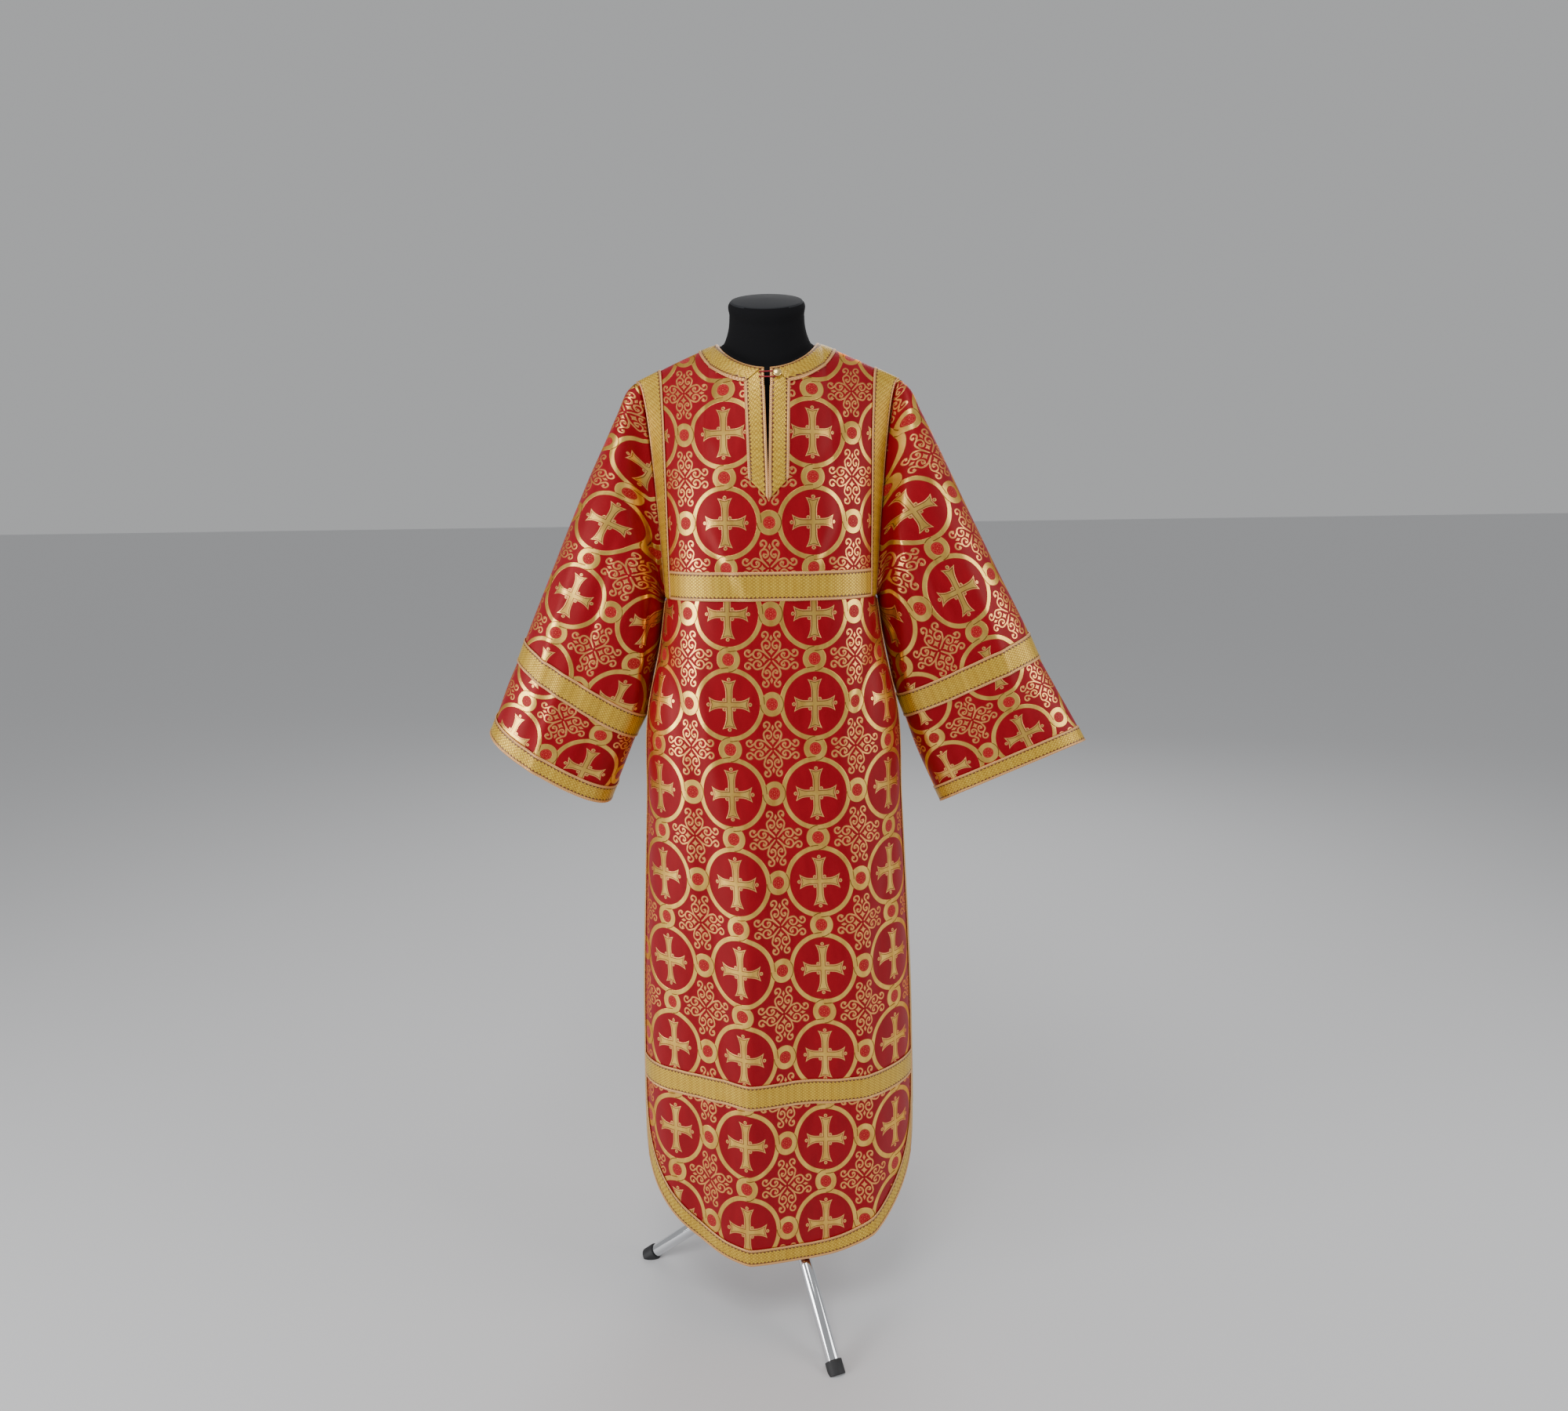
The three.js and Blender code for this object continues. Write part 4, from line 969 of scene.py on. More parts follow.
def new_material(name):
    material = bpy.data.materials.new(name)
    material.use_nodes = True
    tree = material.node_tree
    shader = next(node for node in tree.nodes if node.type == "BSDF_PRINCIPLED")
    return material, tree, shader


def own_map(tree):
    """The piece's own map, as two numbers."""
    uv = tree.nodes.new("ShaderNodeUVMap")
    uv.uv_map = "cloth"
    split = tree.nodes.new("ShaderNodeSeparateXYZ")
    tree.links.new(uv.outputs["UV"], split.inputs[0])
    return uv.outputs["UV"], Number(tree, split.outputs["X"]), Number(tree, split.outputs["Y"])


def mix(tree, share, first, second):
    """A colour between two, each a colour or the output of a node."""
    node = tree.nodes.new("ShaderNodeMix")
    node.data_type = "RGBA"
    tree.links.new(share.socket, node.inputs[0])
    for value, socket in zip((first, second), node.inputs[6:8]):
        if isinstance(value, tuple):
            socket.default_value = (*value, 1)
        else:
            tree.links.new(value, socket)
    return node.outputs[2]


def noise(tree, vector, scale, detail=2.0):
    node = tree.nodes.new("ShaderNodeTexNoise")
    node.inputs["Scale"].default_value = scale
    node.inputs["Detail"].default_value = detail
    tree.links.new(vector, node.inputs["Vector"])
    return Number(tree, node.outputs[0])


def stretched(tree, vector, scale):
    node = tree.nodes.new("ShaderNodeMapping")
    node.inputs["Scale"].default_value = scale
    tree.links.new(vector, node.inputs["Vector"])
    return node.outputs["Vector"]


def bump(tree, shader, height, depth, strength=1.0):
    node = tree.nodes.new("ShaderNodeBump")
    node.inputs["Strength"].default_value = strength
    node.inputs["Distance"].default_value = depth
    tree.links.new(height.socket, node.inputs["Height"])
    tree.links.new(node.outputs["Normal"], shader.inputs["Normal"])


# Sizes of the brocade's figures, as shares of its repeat.
MEDALLION = {"radius": 0.385, "half": 0.0255}
LINK = {"radius": 0.1035, "half": 0.0325, "disc": 0.066}
CROSS = {"height": 0.270, "width": 0.236, "waist": 0.040, "flare": 0.041, "inset": 0.0145, "knob": 0.020}
SCROLL = 0.0088
OUTLINE = 0.0052

# Colours of the brocade and of the braid. The braid's groove colour is painted shade, its facet colour a
# painted highlight, and its cord colours a painted highlight and painted shade.
RED = {
    "deep": (0.195, 0.0011, 0.006), "light": (0.315, 0.0024, 0.011), "thread": (0.41, 0.007, 0.020),
    "disc": (0.34, 0.006, 0.012), "rosette": (0.62, 0.10, 0.06),
}
GOLD = {
    "deep": (0.58, 0.27, 0.040), "light": (0.95, 0.62, 0.135), "thread": (1.0, 0.76, 0.26),
    "scroll": (0.86, 0.40, 0.125), "rim": (0.92, 0.42, 0.17), "line": (0.15, 0.035, 0.008),
}
BRAID_GOLD = {
    "deep": (0.74, 0.44, 0.030), "light": (1.0, 0.74, 0.110), "groove_shade": (0.42, 0.22, 0.014),
    "facet_highlight": (0.92, 0.62, 0.060), "cord_shade": (0.46, 0.16, 0.05), "cord_highlight": (0.94, 0.56, 0.22),
    "line": (0.090, 0.004, 0.004),
}


def cross_edge(across, along, reach):
    """Signed distance to one pair of the cross's arms, which flare to hollow ends."""
    flare = ((along - reach * 0.44).more(0.0) * (1 / (reach * 0.56))).calc("POWER", 2.2)
    half = flare * CROSS["flare"] + CROSS["waist"]
    end = across * 0.28 + (reach - 0.020)
    return (across - half).more(along - end)


def segment(p, q, start, end):
    """Distance to a straight piece of line."""
    step = (end[0] - start[0], end[1] - start[1])
    square = step[0] ** 2 + step[1] ** 2
    share = (p - start[0]) * (step[0] / square) + (q - start[1]) * (step[1] / square)
    share = share.calc("ADD", 0.0, clamp=True)
    return distance(p - start[0] - share * step[0], q - start[1] - share * step[1])


def scrolls(p, q):
    """Distance to the lines of the four-lobed scroll figure. p is along a lobe and q across it."""
    stem = segment(p, q, (0.018, 0.018), (0.094, 0.086)) + 0.002
    shoulder = segment(p, q, (0.094, 0.086), (0.140, 0.104))
    inner = ring(p, q, 0.163, 0.061, 0.046).more((p * -1.0 + 0.146).less(abs(q - 0.072) * -1.0 + 0.026))
    hook = ring(p, q, 0.141, 0.050, 0.021).more((p - 0.148).more(q * -1.0 + 0.046))
    branch = segment(p, q, (0.204, 0.078), (0.240, 0.048))
    outer = ring(p, q, 0.270, 0.069, 0.034).more((p * -1.0 + 0.262).less(abs(q - 0.078) * -1.0 + 0.024))
    knobs = (distance(p - 0.150, q - 0.064) - 0.005).less(distance(p - 0.257, q - 0.085) - 0.006)
    return stem.less(shoulder).less(inner).less(hook).less(branch).less(outer).less(knobs)


def brocade_cloth():
    """Red satin with a woven gold repeat of linked rings, crosses and four-lobed scrolls."""
    material, tree, shader = new_material("brocade")
    vector, u, v = own_map(tree)
    x = u.cycle(1.0)
    y = v.cycle(1.0)
    fold_x = abs(x)
    fold_y = abs(y)
    far_x = fold_x * -1.0 + 0.5
    far_y = fold_y * -1.0 + 0.5
    from_middle = distance(x, y)
    from_side = distance(far_x, y)
    from_end = distance(x, far_y)
    from_link = from_side.less(from_end)
    medallion = abs(from_middle - MEDALLION["radius"]) - MEDALLION["half"]
    link = abs(from_link - LINK["radius"]) - LINK["half"]
    bands = medallion.less(link).within(0.0)

    # Where bands cross, a thin line shows which one lies on top.
    rim = MEDALLION["radius"] + MEDALLION["half"]
    link_rim = LINK["radius"] + LINK["half"]
    medallion_line = abs(from_middle - rim).within(OUTLINE) * link.within(0.0)
    link_line = abs(from_link - link_rim).within(OUTLINE) * medallion.within(0.0)
    turned = (x * y).calc("GREATER_THAN", 0.0)
    upright = (fold_y - fold_x).calc("GREATER_THAN", 0.0)
    right = x.calc("GREATER_THAN", 0.0)
    above = y.calc("GREATER_THAN", 0.0)
    medallion_over = upright * turned.rest() + upright.rest() * right * above
    crossing = medallion_over * medallion_line + medallion_over.rest() * link_line

    # The cross has flared arms with three knobs each and a thin line inside its edge.
    tall = cross_edge(fold_x, fold_y, CROSS["height"])
    wide = cross_edge(fold_y, fold_x, CROSS["width"])
    arms = tall.less(wide)
    corner = distance(fold_x - 0.057, fold_y - 0.052)
    tall_tip = distance(fold_x, fold_y - CROSS["height"] - 0.009)
    wide_tip = distance(fold_x - CROSS["width"] - 0.009, fold_y)
    knobs = corner.less(tall_tip.less(wide_tip)) - CROSS["knob"]
    cross = arms.less(knobs)
    gold_cross = cross.within(0.0)
    curls = abs(knobs + CROSS["knob"] - 0.007).within(0.0026) * arms.within(-0.002).rest()
    inset = abs(arms + CROSS["inset"]).within(0.0038) + curls

    # Between the rings lies a figure of four lobes, each of scrolls, with a small star and lozenge.
    p = far_x.more(far_y)
    q = far_x.less(far_y)
    lines = scrolls(p, q).within(SCROLL)
    star = ((p - 0.086) * (p - 0.086)).calc("POWER", 0.35) + (q * q).calc("POWER", 0.35)
    stars = star.within(0.105, 0.02)
    lozenge = (abs(p - 0.236) * 0.5 + q).within(0.0170)
    small = lines.more(stars).more(lozenge)

    # The small disc in each link holds a rosette of six petals.
    disc = from_link.within(LINK["disc"])
    link_x = far_x * upright.rest() + x * upright
    link_y = y * upright.rest() + far_y * upright
    turn = link_y.calc("ARCTAN2", link_x)
    petal = (turn * 6.0).calc("COSINE") * 0.011 + 0.036
    rosette = abs(from_link - petal).within(0.0035, 0.006).more(abs(from_link - 0.058).within(0.0022, 0.005))
    rosette = rosette.more(from_link.within(0.009)) * disc

    # Slow changes of the metal thread's shine, and its fine ribs.
    shine = noise(tree, stretched(tree, vector, (9, 3, 1)), 1.0)
    thread = noise(tree, stretched(tree, vector, (150, 40, 1)), 1.0, 3.0)
    rib = (v * 880.0).calc("SINE") * 0.5 + 0.5

    red = mix(tree, shine, RED["deep"], RED["light"])
    red = mix(tree, thread.share(0.30, 0.08), red, RED["thread"])
    gold = mix(tree, shine.share(1.8, 0.40), GOLD["deep"], GOLD["light"])
    gold = mix(tree, thread.share(0.5, 0.1), gold, GOLD["thread"])
    figures = bands.more(gold_cross)
    rim_inside = (arms + CROSS["inset"]).within(0.0).rest() * gold_cross
    colour = mix(tree, disc, red, RED["disc"])
    colour = mix(tree, rosette * 0.65, colour, RED["rosette"])
    colour = mix(tree, figures, colour, gold)
    colour = mix(tree, small * 0.94, colour, GOLD["scroll"])
    colour = mix(tree, rim_inside * 0.62, colour, GOLD["rim"])
    colour = mix(tree, crossing.more(inset * gold_cross) * 0.85, colour, GOLD["line"])
    metal = figures.more(small)
    tree.links.new(colour, shader.inputs["Base Color"])
    tree.links.new((metal * 0.90).socket, shader.inputs["Metallic"])
    tree.links.new((metal * -0.10 + 0.42).socket, shader.inputs["Roughness"])
    shader.inputs["Specular IOR Level"].default_value = 0.42
    shader.inputs["Specular Tint"].default_value = (1.0, 0.30, 0.26, 1)
    shader.inputs["Sheen Weight"].default_value = 0.06
    shader.inputs["Sheen Roughness"].default_value = 0.35
    shader.inputs["Sheen Tint"].default_value = (1.0, 0.12, 0.12, 1)
    relief = metal + thread * 0.35 + rib * 0.12 - crossing * 0.5
    bump(tree, shader, relief, 0.00022)
    return material


def braid_weave():
    """Gold braid of fine lozenges, with a dark saw-toothed line and a twisted cord along each edge, and with
    painted shade and painted highlights on its weave and cord.
    """
    material, tree, shader = new_material("galloon")
    vector, along, edge = own_map(tree)
    step, slant = 0.0064, edge * 1.35
    # Painted shade: the grooves between the lozenges are coloured darker, over the dip the bump gives them.
    grooves = abs((along + slant).cycle(step)).less(abs((along - slant).cycle(step)))
    # Painted highlight: bands along the braid, 12 mm apart, are coloured lighter towards their middles.
    highlit_facets = abs(along.cycle(0.0122))
    patch = noise(tree, stretched(tree, vector, (55, 55, 1)), 1.0, 3.0)
    cord = edge.within(CORD, 0.0003)
    # Painted highlight and shade: each turn of the twisted cord is coloured lighter along its crown and
    # darker where it meets the next.
    twist = abs((along + edge * 0.9).cycle(0.0024))
    tooth = abs(along.cycle(0.0062)).calc("MULTIPLY_ADD", -0.0062, 0.0072)
    line = (edge - tooth).within(0.0, 0.0003) * (edge * -1.0).within(-0.0040, 0.0002)
    thin = abs(edge - 0.0042).within(0.00035, 0.0002)
    woven = mix(tree, patch.share(1.9, 0.45), BRAID_GOLD["deep"], BRAID_GOLD["light"])
    woven = mix(tree, grooves.share(2.2, 0.10), BRAID_GOLD["groove_shade"], woven)
    woven = mix(tree, highlit_facets.share(0.45), woven, BRAID_GOLD["facet_highlight"])
    shaded_cord = mix(tree, twist.share(2.4, 0.1), BRAID_GOLD["cord_shade"], BRAID_GOLD["cord_highlight"])
    colour = mix(tree, cord, woven, shaded_cord)
    colour = mix(tree, line.more(thin) * 0.94, colour, BRAID_GOLD["line"])
    tree.links.new(colour, shader.inputs["Base Color"])
    tree.links.new((line.rest() * 0.38).socket, shader.inputs["Metallic"])
    shader.inputs["Roughness"].default_value = 0.36
    relief = (grooves * 2.0).less(0.6) * cord.rest() + twist * cord + patch * 0.2
    bump(tree, shader, relief, 0.0004)
    return material


def plain_material(
    name, colour, roughness, metallic=0.0, grain=300.0, depth=0.0002, strength=0.3, specular=0.5
):
    """A finish with a faint grain, so that no surface is dead flat."""
    material, tree, shader = new_material(name)
    coordinates = tree.nodes.new("ShaderNodeTexCoord")
    grained = noise(tree, coordinates.outputs["Object"], grain, 3.0)
    dark = tuple(channel * 0.8 for channel in colour)
    tree.links.new(mix(tree, grained, dark, colour), shader.inputs["Base Color"])
    shader.inputs["Roughness"].default_value = roughness
    shader.inputs["Metallic"].default_value = metallic
    shader.inputs["Specular IOR Level"].default_value = specular
    bump(tree, shader, grained, depth, strength)
    return material


brocade = brocade_cloth()
galloon = braid_weave()
form_cloth = plain_material(
    "black_jersey", (0.0045, 0.0045, 0.0055), 0.88, grain=900, depth=0.0003, strength=0.5, specular=0.15
)
cap_cloth = plain_material("cap_cloth", (0.016, 0.017, 0.020), 0.72, grain=500, specular=0.3)
chrome = plain_material("chrome", (0.80, 0.81, 0.83), 0.09, 1.0, grain=3, depth=0.00001, strength=0.05)
rubber = plain_material("foot_rubber", (0.018, 0.018, 0.02), 0.62)
gilt = plain_material("pale_gold", (0.86, 0.62, 0.24), 0.20, 0.85, grain=200, strength=0.1)
red_cord = plain_material("red_cord", (0.34, 0.012, 0.025), 0.6, grain=1500)


# The cloth.

front = Panel(FRONT)
back = Panel(BACK)
PANELS = {"front": front, "back": back}


def flat_facts(flat, counted):
    """The width, length and area of a piece as it was cut, from the cells of its layout."""
    cells = flat[:-1, :-1]
    right = flat[:-1, 1:] - cells
    below = flat[1:, :-1] - cells
    areas = np.abs(right[..., 0] * below[..., 1] - right[..., 1] * below[..., 0])
    width, length = np.ptp(cells[counted], axis=0)
    return (round(float(width), 3), round(float(length), 3)), round(float(areas[counted].sum()), 4)


def signed(half, columns):
    return half * (np.asarray(columns, float) + 0.5)


def neck_edging():
    """Mitred at the slit, round the neck over both shoulder seams."""
    across = braid_shares(NARROW) * COLLAR_ROW
    ahead = lerp(across + 0.03, COLLAR_COLUMN, np.linspace(0, 1, 61)[:, None])
    behind = np.linspace(COLLAR_COLUMN, 0, 50)[:, None]
    right, _ = front.place(across, signed(1, ahead))
    back_right, _ = back.place(across, signed(1, behind))
    back_left, _ = back.place(across, signed(-1, behind[::-1][:-1]))
    left, _ = front.place(across, signed(-1, ahead))
    place = np.concatenate([right, back_right[1:], back_left, left[::-1]])
    return braid_piece("neck_trim", place, NARROW, [0, 0, 1.40])


def slit_edging(hand, half):
    """One side of the slit, mitred at the neck and cut to a point below the slit."""
    columns = braid_shares(NARROW) * 2
    tip = np.interp(columns, [0, 1, 2], [0.64, 0.32, 0.05])
    rows = lerp(columns + 0.03, SLIT_ROW + tip, np.linspace(0, 1, 70)[:, None])
    place, _ = front.place(rows, signed(half, columns))
    return braid_piece(f"placket_trim_{hand}", place, NARROW, place * UPRIGHT)


def band(name, panel, rows, width, last):
    """A braid across a panel, between two rows of the layout."""
    end = last + 0.48
    columns = np.concatenate([[-end], COLUMNS[np.abs(COLUMNS) < end], [end]])
    place, _ = panel.place(lerp(*rows, braid_shares(width)), columns[:, None])
    return braid_piece(name, place, width, place * UPRIGHT)


def armhole_strip(hand, half):
    """Over the shoulder, from the front's chest line to the back's."""
    columns = lerp(STRIP_COLUMN, ARMHOLE_COLUMN - 0.3, braid_shares(WIDE * 1.03))
    rows = np.linspace(COLLAR_ROW, CHEST_ROW, 80)[:, None]
    on_front, _ = front.place(rows, signed(half, columns))
    on_back, _ = back.place(rows, signed(half, columns))
    place = np.concatenate([on_front[::-1], on_back[1:]])
    inside = place * UPRIGHT - [0, 0, 0.05]
    return braid_piece(f"armhole_trim_{hand}", place, WIDE, inside)


def side_edging(name, panel, half):
    """Down a side seam and its vent, from just under the armhole to the hem."""
    start = CHEST_ROW + 0.12
    columns = lerp(ARMHOLE_COLUMN, SEAM_COLUMN, braid_shares(NARROW))
    rows = np.concatenate([[start], ROWS[ROWS > start]])[:, None]
    place, _ = panel.place(rows, signed(half, columns))
    return braid_piece(name, place, NARROW, place * UPRIGHT)


def sleeve_braid(name, sleeve, rows, width):
    """A closed braid round a sleeve, between two rows of its layout."""
    place, _ = sleeve.place(lerp(*rows, braid_shares(width)))
    place = place.transpose(1, 0, 2)
    return braid_piece(name, place, width, place.mean(axis=0, keepdims=True), closed=True)


def garment():
    """All the cloth: the trims and the sleeves first, and the front and the back last."""
    trims = {"front": [neck_edging()], "back": []}
    for side, panel in PANELS.items():
        chest = "chest_band" if side == "front" else "back_band"
        trims[side] += [
            band(chest, panel, (CHEST_ROW - 1, CHEST_ROW), WIDE, STRIP_COLUMN),
            band(f"hem_band_{side}", panel, (BAND_ROW, BAND_ROW + 1), WIDE, ARMHOLE_COLUMN),
            band(f"hem_trim_{side}", panel, (EDGING_ROW, HEM_ROW), NARROW, ARMHOLE_COLUMN),
        ]
    for hand, half in (("left", -1), ("right", 1)):
        trims["front"] += [slit_edging(hand, half), armhole_strip(hand, half)]
        for side, panel in PANELS.items():
            trims[side] += [side_edging(f"side_trim_{side}_{hand}", panel, half)]
        sleeve = Sleeve(hand)
        piece, facts = sleeve_piece(f"sleeve_{hand}", sleeve)
        on_sleeve = [
            sleeve_braid(f"sleeve_band_{hand}", sleeve, (7, 8), WIDE),
            sleeve_braid(f"cuff_trim_{hand}", sleeve, (sleeve.last - 1, sleeve.last), NARROW),
        ]
    for side, panel in PANELS.items():
        piece, facts = panel_piece(f"{side}_panel", panel)


# The dress form and its stand. TRUNK gives its sections as BODY does the garment's, and FORM_NECK half
# the neck's width at shares of its height.

FORM = {
    "under_neck": 0.0036, "under_tip": 0.0015, "tip": 0.187, "half": 0.0735, FRONT: 0.0855, BACK: 0.0575,
    "bottom": 0.820, "cap": 1.678, "tilt": math.radians(20), "dome": 0.004,
}
TRUNK = np.array([
    [1.232, 0.140, 0.105, 0.098, 2.2],
    [1.120, 0.128, 0.092, 0.085, 2.2],
    [1.000, 0.145, 0.098, 0.095, 2.2],
    [0.900, 0.158, 0.103, 0.105, 2.3],
    [0.834, 0.160, 0.104, 0.108, 2.3],
    [0.824, 0.156, 0.101, 0.105, 2.3],
    [0.820, 0.150, 0.096, 0.100, 2.3],
])
FORM_NECK = np.array([
    [0, 0.0735], [0.1, 0.067], [0.22, 0.063], [0.42, 0.059], [0.7, 0.0573], [0.97, 0.0565], [1, 0.0545],
])


def all_round(quarter_of):
    """A closed ring from its four quarters, each given from the centre line to the side."""
    quarters = {(side, half): quarter_of(side) * [half, 1, 1] for side in (FRONT, BACK) for half in (1, -1)}
    return np.concatenate([
        quarters[FRONT, 1],
        quarters[BACK, 1][::-1][1:],
        quarters[BACK, -1][1:],
        quarters[FRONT, -1][::-1][1:],
    ])


def dress_form():
    """One closed body: the shoulders, the trunk, the neck and its slanted cap."""
    tops = {
        side: top_lines(side, FORM["half"], FORM[side], FORM["tip"], FORM["under_neck"], FORM["under_tip"])
        for side in (FRONT, BACK)
    }
    shares = np.concatenate([np.linspace(0, 1, 17)[:-1], 1 + np.linspace(0, 1, 29)])

    def top(side):
        neckline, seam = tops[side]
        on_neck = neckline.at(np.minimum(shares, 1) * neckline.length)
        on_seam = seam.at(np.maximum(shares - 1, 0) * seam.length)
        return np.where((shares < 1)[:, None], on_neck, on_seam)

    def across(side):
        neckline, seam = tops[side]
        reach = np.minimum(shares, 1) * neckline.length + np.maximum(shares - 1, 0) * seam.length
        return reach / (neckline.length + seam.length)

    def shoulder(down):
        def one(side):
            chest = quarter(side, *TRUNK[0, 1:], z=CHEST_Z)
            return rounded(top(side), chest.at(across(side) * chest.length), down)

        return all_round(one)

    def trunk(z):
        values = between(TRUNK[::-1, 1:], TRUNK[::-1, 0], np.array([z]))[0]

        def one(side):
            curve = quarter(side, *values, z=z)
            return curve.at(across(side) * curve.length)

        return all_round(one)

    rows = [shoulder(down) for down in np.linspace(0, 1, 30) ** 1.4]
    rows += [trunk(z) for z in np.linspace(CHEST_Z, 0.834, 24)[1:]]
    rows += [trunk(z) for z in (0.828, 0.824, 0.821, 0.820)]
    rows += [rows[-1] * [share, share, 1] for share in (0.7, 0.35, 0.02)]
    body = np.array(rows)

    slope = math.tan(FORM["tilt"])
    base = all_round(lambda side: tops[side][0].at(np.linspace(0, 1, 17) * tops[side][0].length))

    def neck(rise):
        half = float(between(FORM_NECK[:, 1:], FORM_NECK[:, 0], np.array([rise]))[0, 0])
        depth = np.where(base[:, 1] < 0, FORM[FRONT], FORM[BACK])
        flat = np.stack([base[:, 0] / FORM["half"], base[:, 1] / depth], -1)
        flat = unit(flat) * half
        flat[:, 1] = np.minimum(flat[:, 1], FORM[BACK] - 0.0005)
        spread = min(1, rise / 0.1)
        x, y = lerp(base[:, 0], flat[:, 0], spread), lerp(base[:, 1], flat[:, 1], spread)
        return points(x, y, lerp(base[:, 2], FORM["cap"] + y * slope, rise))

    def crown(share):
        """A ring of the low dome on the cap, at a share of the way from its middle to its rim."""
        return lerp(middle, rim, share) + [0, 0, FORM["dome"] * 0.6 * (share - share**3)]

    rim = neck(1)
    middle = np.array([0, 0, FORM["cap"] + FORM["dome"]])
    neck_rows = [neck(rise) for rise in (*np.linspace(0, 0.96, 30), 0.975, 0.988, 0.996, 1)]
    neck_rows = np.array(neck_rows + [crown(share) for share in (0.97, 0.8, 0.5, 0.02)])

    mesh = bmesh.new()
    lay_grid(mesh, body, body[..., :2], body.mean(axis=1, keepdims=True))
    lay_grid(mesh, neck_rows, neck_rows[..., :2], neck_rows.mean(axis=1, keepdims=True))
    bmesh.ops.remove_doubles(mesh, verts=mesh.verts, dist=2e-4)
    bmesh.ops.holes_fill(mesh, edges=mesh.edges, sides=0)
    for face in mesh.faces:
        spot = face.calc_center_median() - Vector(AXIS)
        face.material_index = int(spot.z > FORM["cap"] + spot.y * slope - 0.0016)
    place_on(finished("dress_form", mesh), "dress_form", "form_cloth", form_cloth, cap_cloth)


HUB = {"radius": 0.024, "bottom": 0.160, "top": 0.235, "legs": 0.198}
LEG = {
    "radius": 0.0115, "reach": 0.250, "inside": 0.010,
    "cap_radius": 0.014, "cap_length": 0.016, "in_cap": 0.0004, "over": 0.006,
}
POLE_RADIUS = 0.016
HEADINGS = [math.radians(angle) for angle in (-69.6, 170.4, 50.4)]


def turned_to(mesh, place, heading):
    """Moves a mesh from the origin to its place, with its +Z turned to a heading."""
    turn = Vector((0, 0, 1)).rotation_difference(heading).to_matrix().to_4x4()
    bmesh.ops.transform(mesh, matrix=Matrix.Translation(place + Vector(AXIS)) @ turn, verts=mesh.verts)


def rod(radius, start, end, rounding=0.0006):
    """A round bar between two points, with its two rims rounded."""
    start, end = Vector(start), Vector(end)
    length = (end - start).length
    mesh = bmesh.new()
    bmesh.ops.create_cone(mesh, cap_ends=True, segments=64, radius1=radius, radius2=radius, depth=length)
    rims = [edge for edge in mesh.edges if abs(edge.verts[0].co.z - edge.verts[1].co.z) < 1e-6]
    bmesh.ops.bevel(mesh, geom=rims, offset=rounding, segments=3, profile=0.5, affect="EDGES", material=-1)
    turned_to(mesh, (start + end) / 2, end - start)
    for face in mesh.faces:
        face.smooth = len(face.verts) <= 4
    return mesh


def stand():
    """The pole and the hub on the axis, and three legs from the hub to the floor with their caps."""
    pole = rod(POLE_RADIUS, (0, 0, HUB["top"]), (0, 0, FORM["bottom"]))
    place_on(finished("stand_pole", pole), "stand_pole", "chrome", chrome)
    hub = rod(HUB["radius"], (0, 0, HUB["bottom"]), (0, 0, HUB["top"]), 0.003)
    place_on(finished("stand_hub", hub), "stand_hub", "chrome", chrome)
    top = Vector((0, 0, HUB["legs"]))
    for number, heading in enumerate(HEADINGS, 1):
        foot = Vector((LEG["reach"] * math.cos(heading), LEG["reach"] * math.sin(heading), 0))
        length = (foot - top).length
        down = (foot - top) / length
        cap_start = length - LEG["cap_length"]
        tube = rod(LEG["radius"], top + down * LEG["inside"], top + down * (cap_start + LEG["in_cap"]))
        place_on(finished(f"stand_leg_{number}", tube), f"stand_leg_{number}", "chrome", chrome)
        cap = rod(LEG["cap_radius"], top + down * cap_start, top + down * (length + LEG["over"]), 0.001)
        cut = bmesh.ops.bisect_plane(
            cap, geom=[*cap.verts, *cap.edges, *cap.faces],
            plane_co=(0, 0, 0), plane_no=(0, 0, -1), clear_outer=True,
        )
        rim = [part for part in cut["geom_cut"] if isinstance(part, bmesh.types.BMEdge)]
        bmesh.ops.edgeloop_fill(cap, edges=rim)
        place_on(finished(f"foot_cap_{number}", cap), f"foot_cap_{number}", "foot_rubber", rubber)


BUTTON = {"x": 0.0145, "row": 0.95, "shank": 0.0025, "shank_height": 0.0024, "head": 0.0065, "height": 0.0062}
LOOP = {"cord": 0.0009, "radius": 0.0043, "end": -0.012}


def on_neck(x, row, height):
    """Points over the neck edging near the slit, and the way out there."""
    across = np.stack([x, x, x, np.add(x, 0.001), np.add(x, -0.001)])
    rows = np.stack([row, np.add(row, 0.1), np.add(row, -0.1), row, row])
    beside = np.sign(across) * ((np.abs(across) - SLIT["wide"]) / FROM_CENTRE[1] + 0.5)
    columns = np.where(np.abs(across) < SLIT["wide"], 0.5 * across / SLIT["wide"], beside)
    (middle, lower, upper, right, left), _ = front.place(rows, columns)
    normal = np.cross(lower - upper, right - left)
    normal *= -np.sign(normal[:, 1:2]) / np.linalg.norm(normal, axis=1, keepdims=True)
    return middle + normal * (CLOTH / 2 + LIFT + BRAID + height), normal


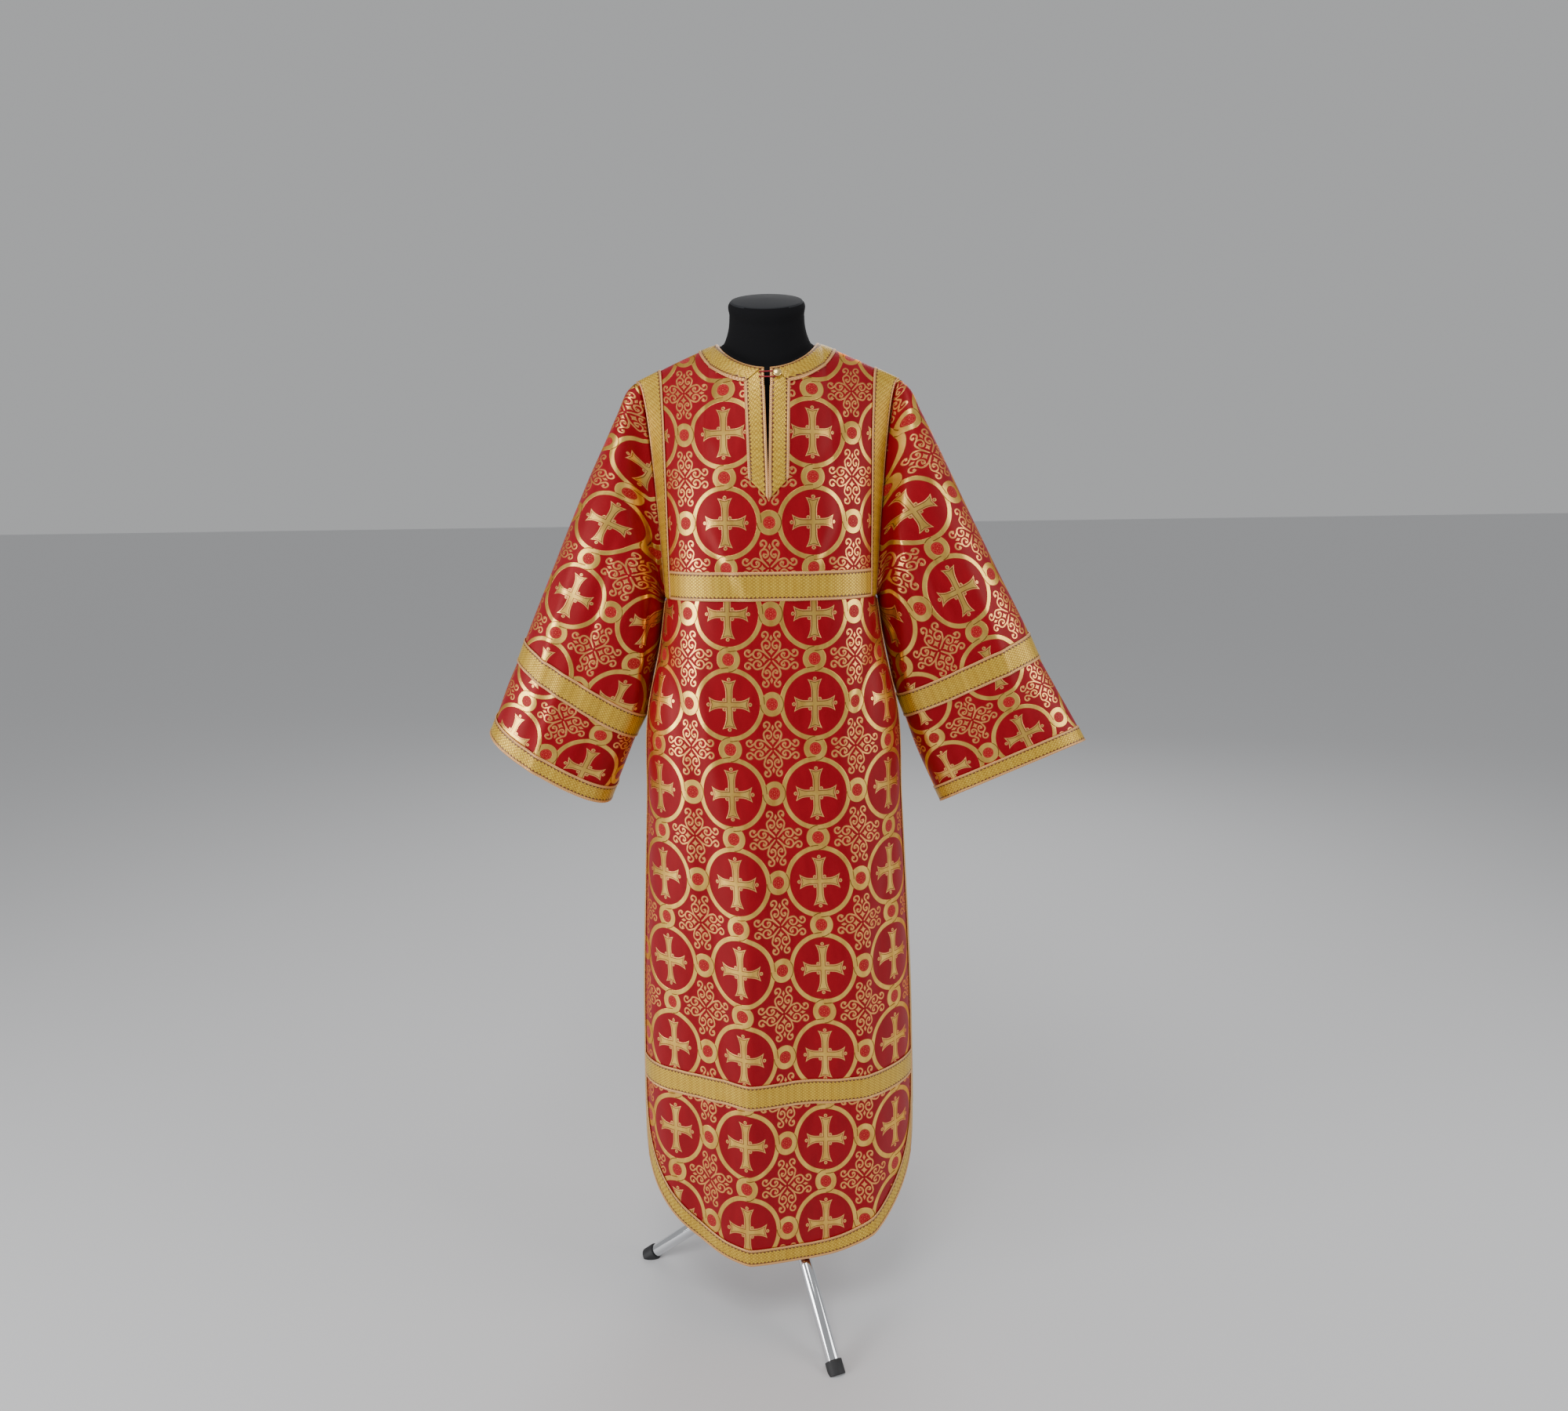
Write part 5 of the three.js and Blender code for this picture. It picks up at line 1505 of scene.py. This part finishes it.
def button():
    """A low dome on a short shank, turned from its profile."""
    shank, under, head, height = (BUTTON[key] for key in ("shank", "shank_height", "head", "height"))
    profile = [
        (0, SEAM), (shank, SEAM), (shank, under), (head * 0.8, under), (head, under + 0.0011),
        (head, under + 0.0019), (head * 0.93, height - 0.0010), (head * 0.74, height - 0.0002),
        (head * 0.4, height + 0.0002), (0, height + 0.0003),
    ]
    mesh = bmesh.new()
    verts = [mesh.verts.new((radius, 0, up)) for radius, up in profile]
    edges = [mesh.edges.new(pair) for pair in zip(verts, verts[1:])]
    bmesh.ops.spin(mesh, geom=[*verts, *edges], cent=(0, 0, 0), axis=(0, 0, 1), angle=2 * math.pi, steps=48,
                   use_merge=True)
    bmesh.ops.remove_doubles(mesh, verts=mesh.verts, dist=1e-6)
    bmesh.ops.recalc_face_normals(mesh, faces=mesh.faces)
    place, out = on_neck([BUTTON["x"]], [BUTTON["row"]], 0)
    turned_to(mesh, Vector(place[0]), Vector(out[0]))
    for face in mesh.faces:
        face.smooth = True
    place_on(finished("button", mesh), "button", "button", gilt)


def button_loop():
    """The cord that comes from under the left edging, goes round the button and back."""
    row_step = NARROW / COLLAR_ROW
    angles = [math.pi / 2 - step * math.pi / 8 for step in range(9)]
    flat = np.array([
        (LOOP["end"], LOOP["radius"] * 0.8),
        (0, LOOP["radius"] * 0.9),
        *[(BUTTON["x"] + LOOP["radius"] * math.cos(a), LOOP["radius"] * math.sin(a)) for a in angles],
        (0, -LOOP["radius"] * 0.9),
        (LOOP["end"], -LOOP["radius"] * 0.8),
    ])
    route, _ = on_neck(flat[:, 0], BUTTON["row"] - flat[:, 1] / row_step, SEAM + LOOP["cord"])
    data = bpy.data.curves.new("button_loop", "CURVE")
    data.dimensions = "3D"
    data.bevel_depth = LOOP["cord"]
    data.bevel_resolution = 4
    data.use_fill_caps = True
    spline = data.splines.new("NURBS")
    spline.points.add(len(route) - 1)
    for point, place in zip(spline.points, route):
        point.co = (*(place + AXIS), 1)
    spline.order_u = 4
    spline.use_endpoint_u = True
    spline.resolution_u = 8
    piece = bpy.data.objects.new("shown_button_loop", data)
    bpy.context.scene.collection.objects.link(piece)
    place_on(piece, "button_loop", "cord", red_cord)


def room():
    """A pale floor and soft light from above and both sides."""
    mesh = bmesh.new()
    bmesh.ops.create_grid(mesh, x_segments=1, y_segments=1, size=60)
    floor = finished("floor", mesh)
    material, _, shader = new_material("pale_floor")
    shader.inputs["Base Color"].default_value = (0.70, 0.70, 0.71, 1)
    shader.inputs["Roughness"].default_value = 0.7
    floor.data.materials.append(material)
    world = bpy.data.worlds.new("soft")
    world.use_nodes = True
    sky = world.node_tree.nodes["Background"]
    sky.inputs[0].default_value = (0.78, 0.79, 0.80, 1)
    sky.inputs[1].default_value = 0.54
    bpy.context.scene.world = world
    lamps = [
        ("top", (-0.5, -1.6, 3.5), 1.4, 43),
        ("left", (-3.0, -1.7, 1.1), 1.5, 71),
        ("right", (2.9, -1.1, 1.5), 1.6, 36),
        ("rear", (0.6, 2.9, 2.8), 2.2, 34),
    ]
    for name, place, size, watts in lamps:
        data = bpy.data.lights.new(name, "AREA")
        data.size = size
        data.energy = watts
        lamp = bpy.data.objects.new(name, data)
        lamp.location = place
        lamp.rotation_euler = (Vector((0, 0, 0.9)) - Vector(place)).to_track_quat("-Z", "Y").to_euler()
        bpy.context.scene.collection.objects.link(lamp)


camera()
room()
garment()
dress_form()
stand()
button()
button_loop()
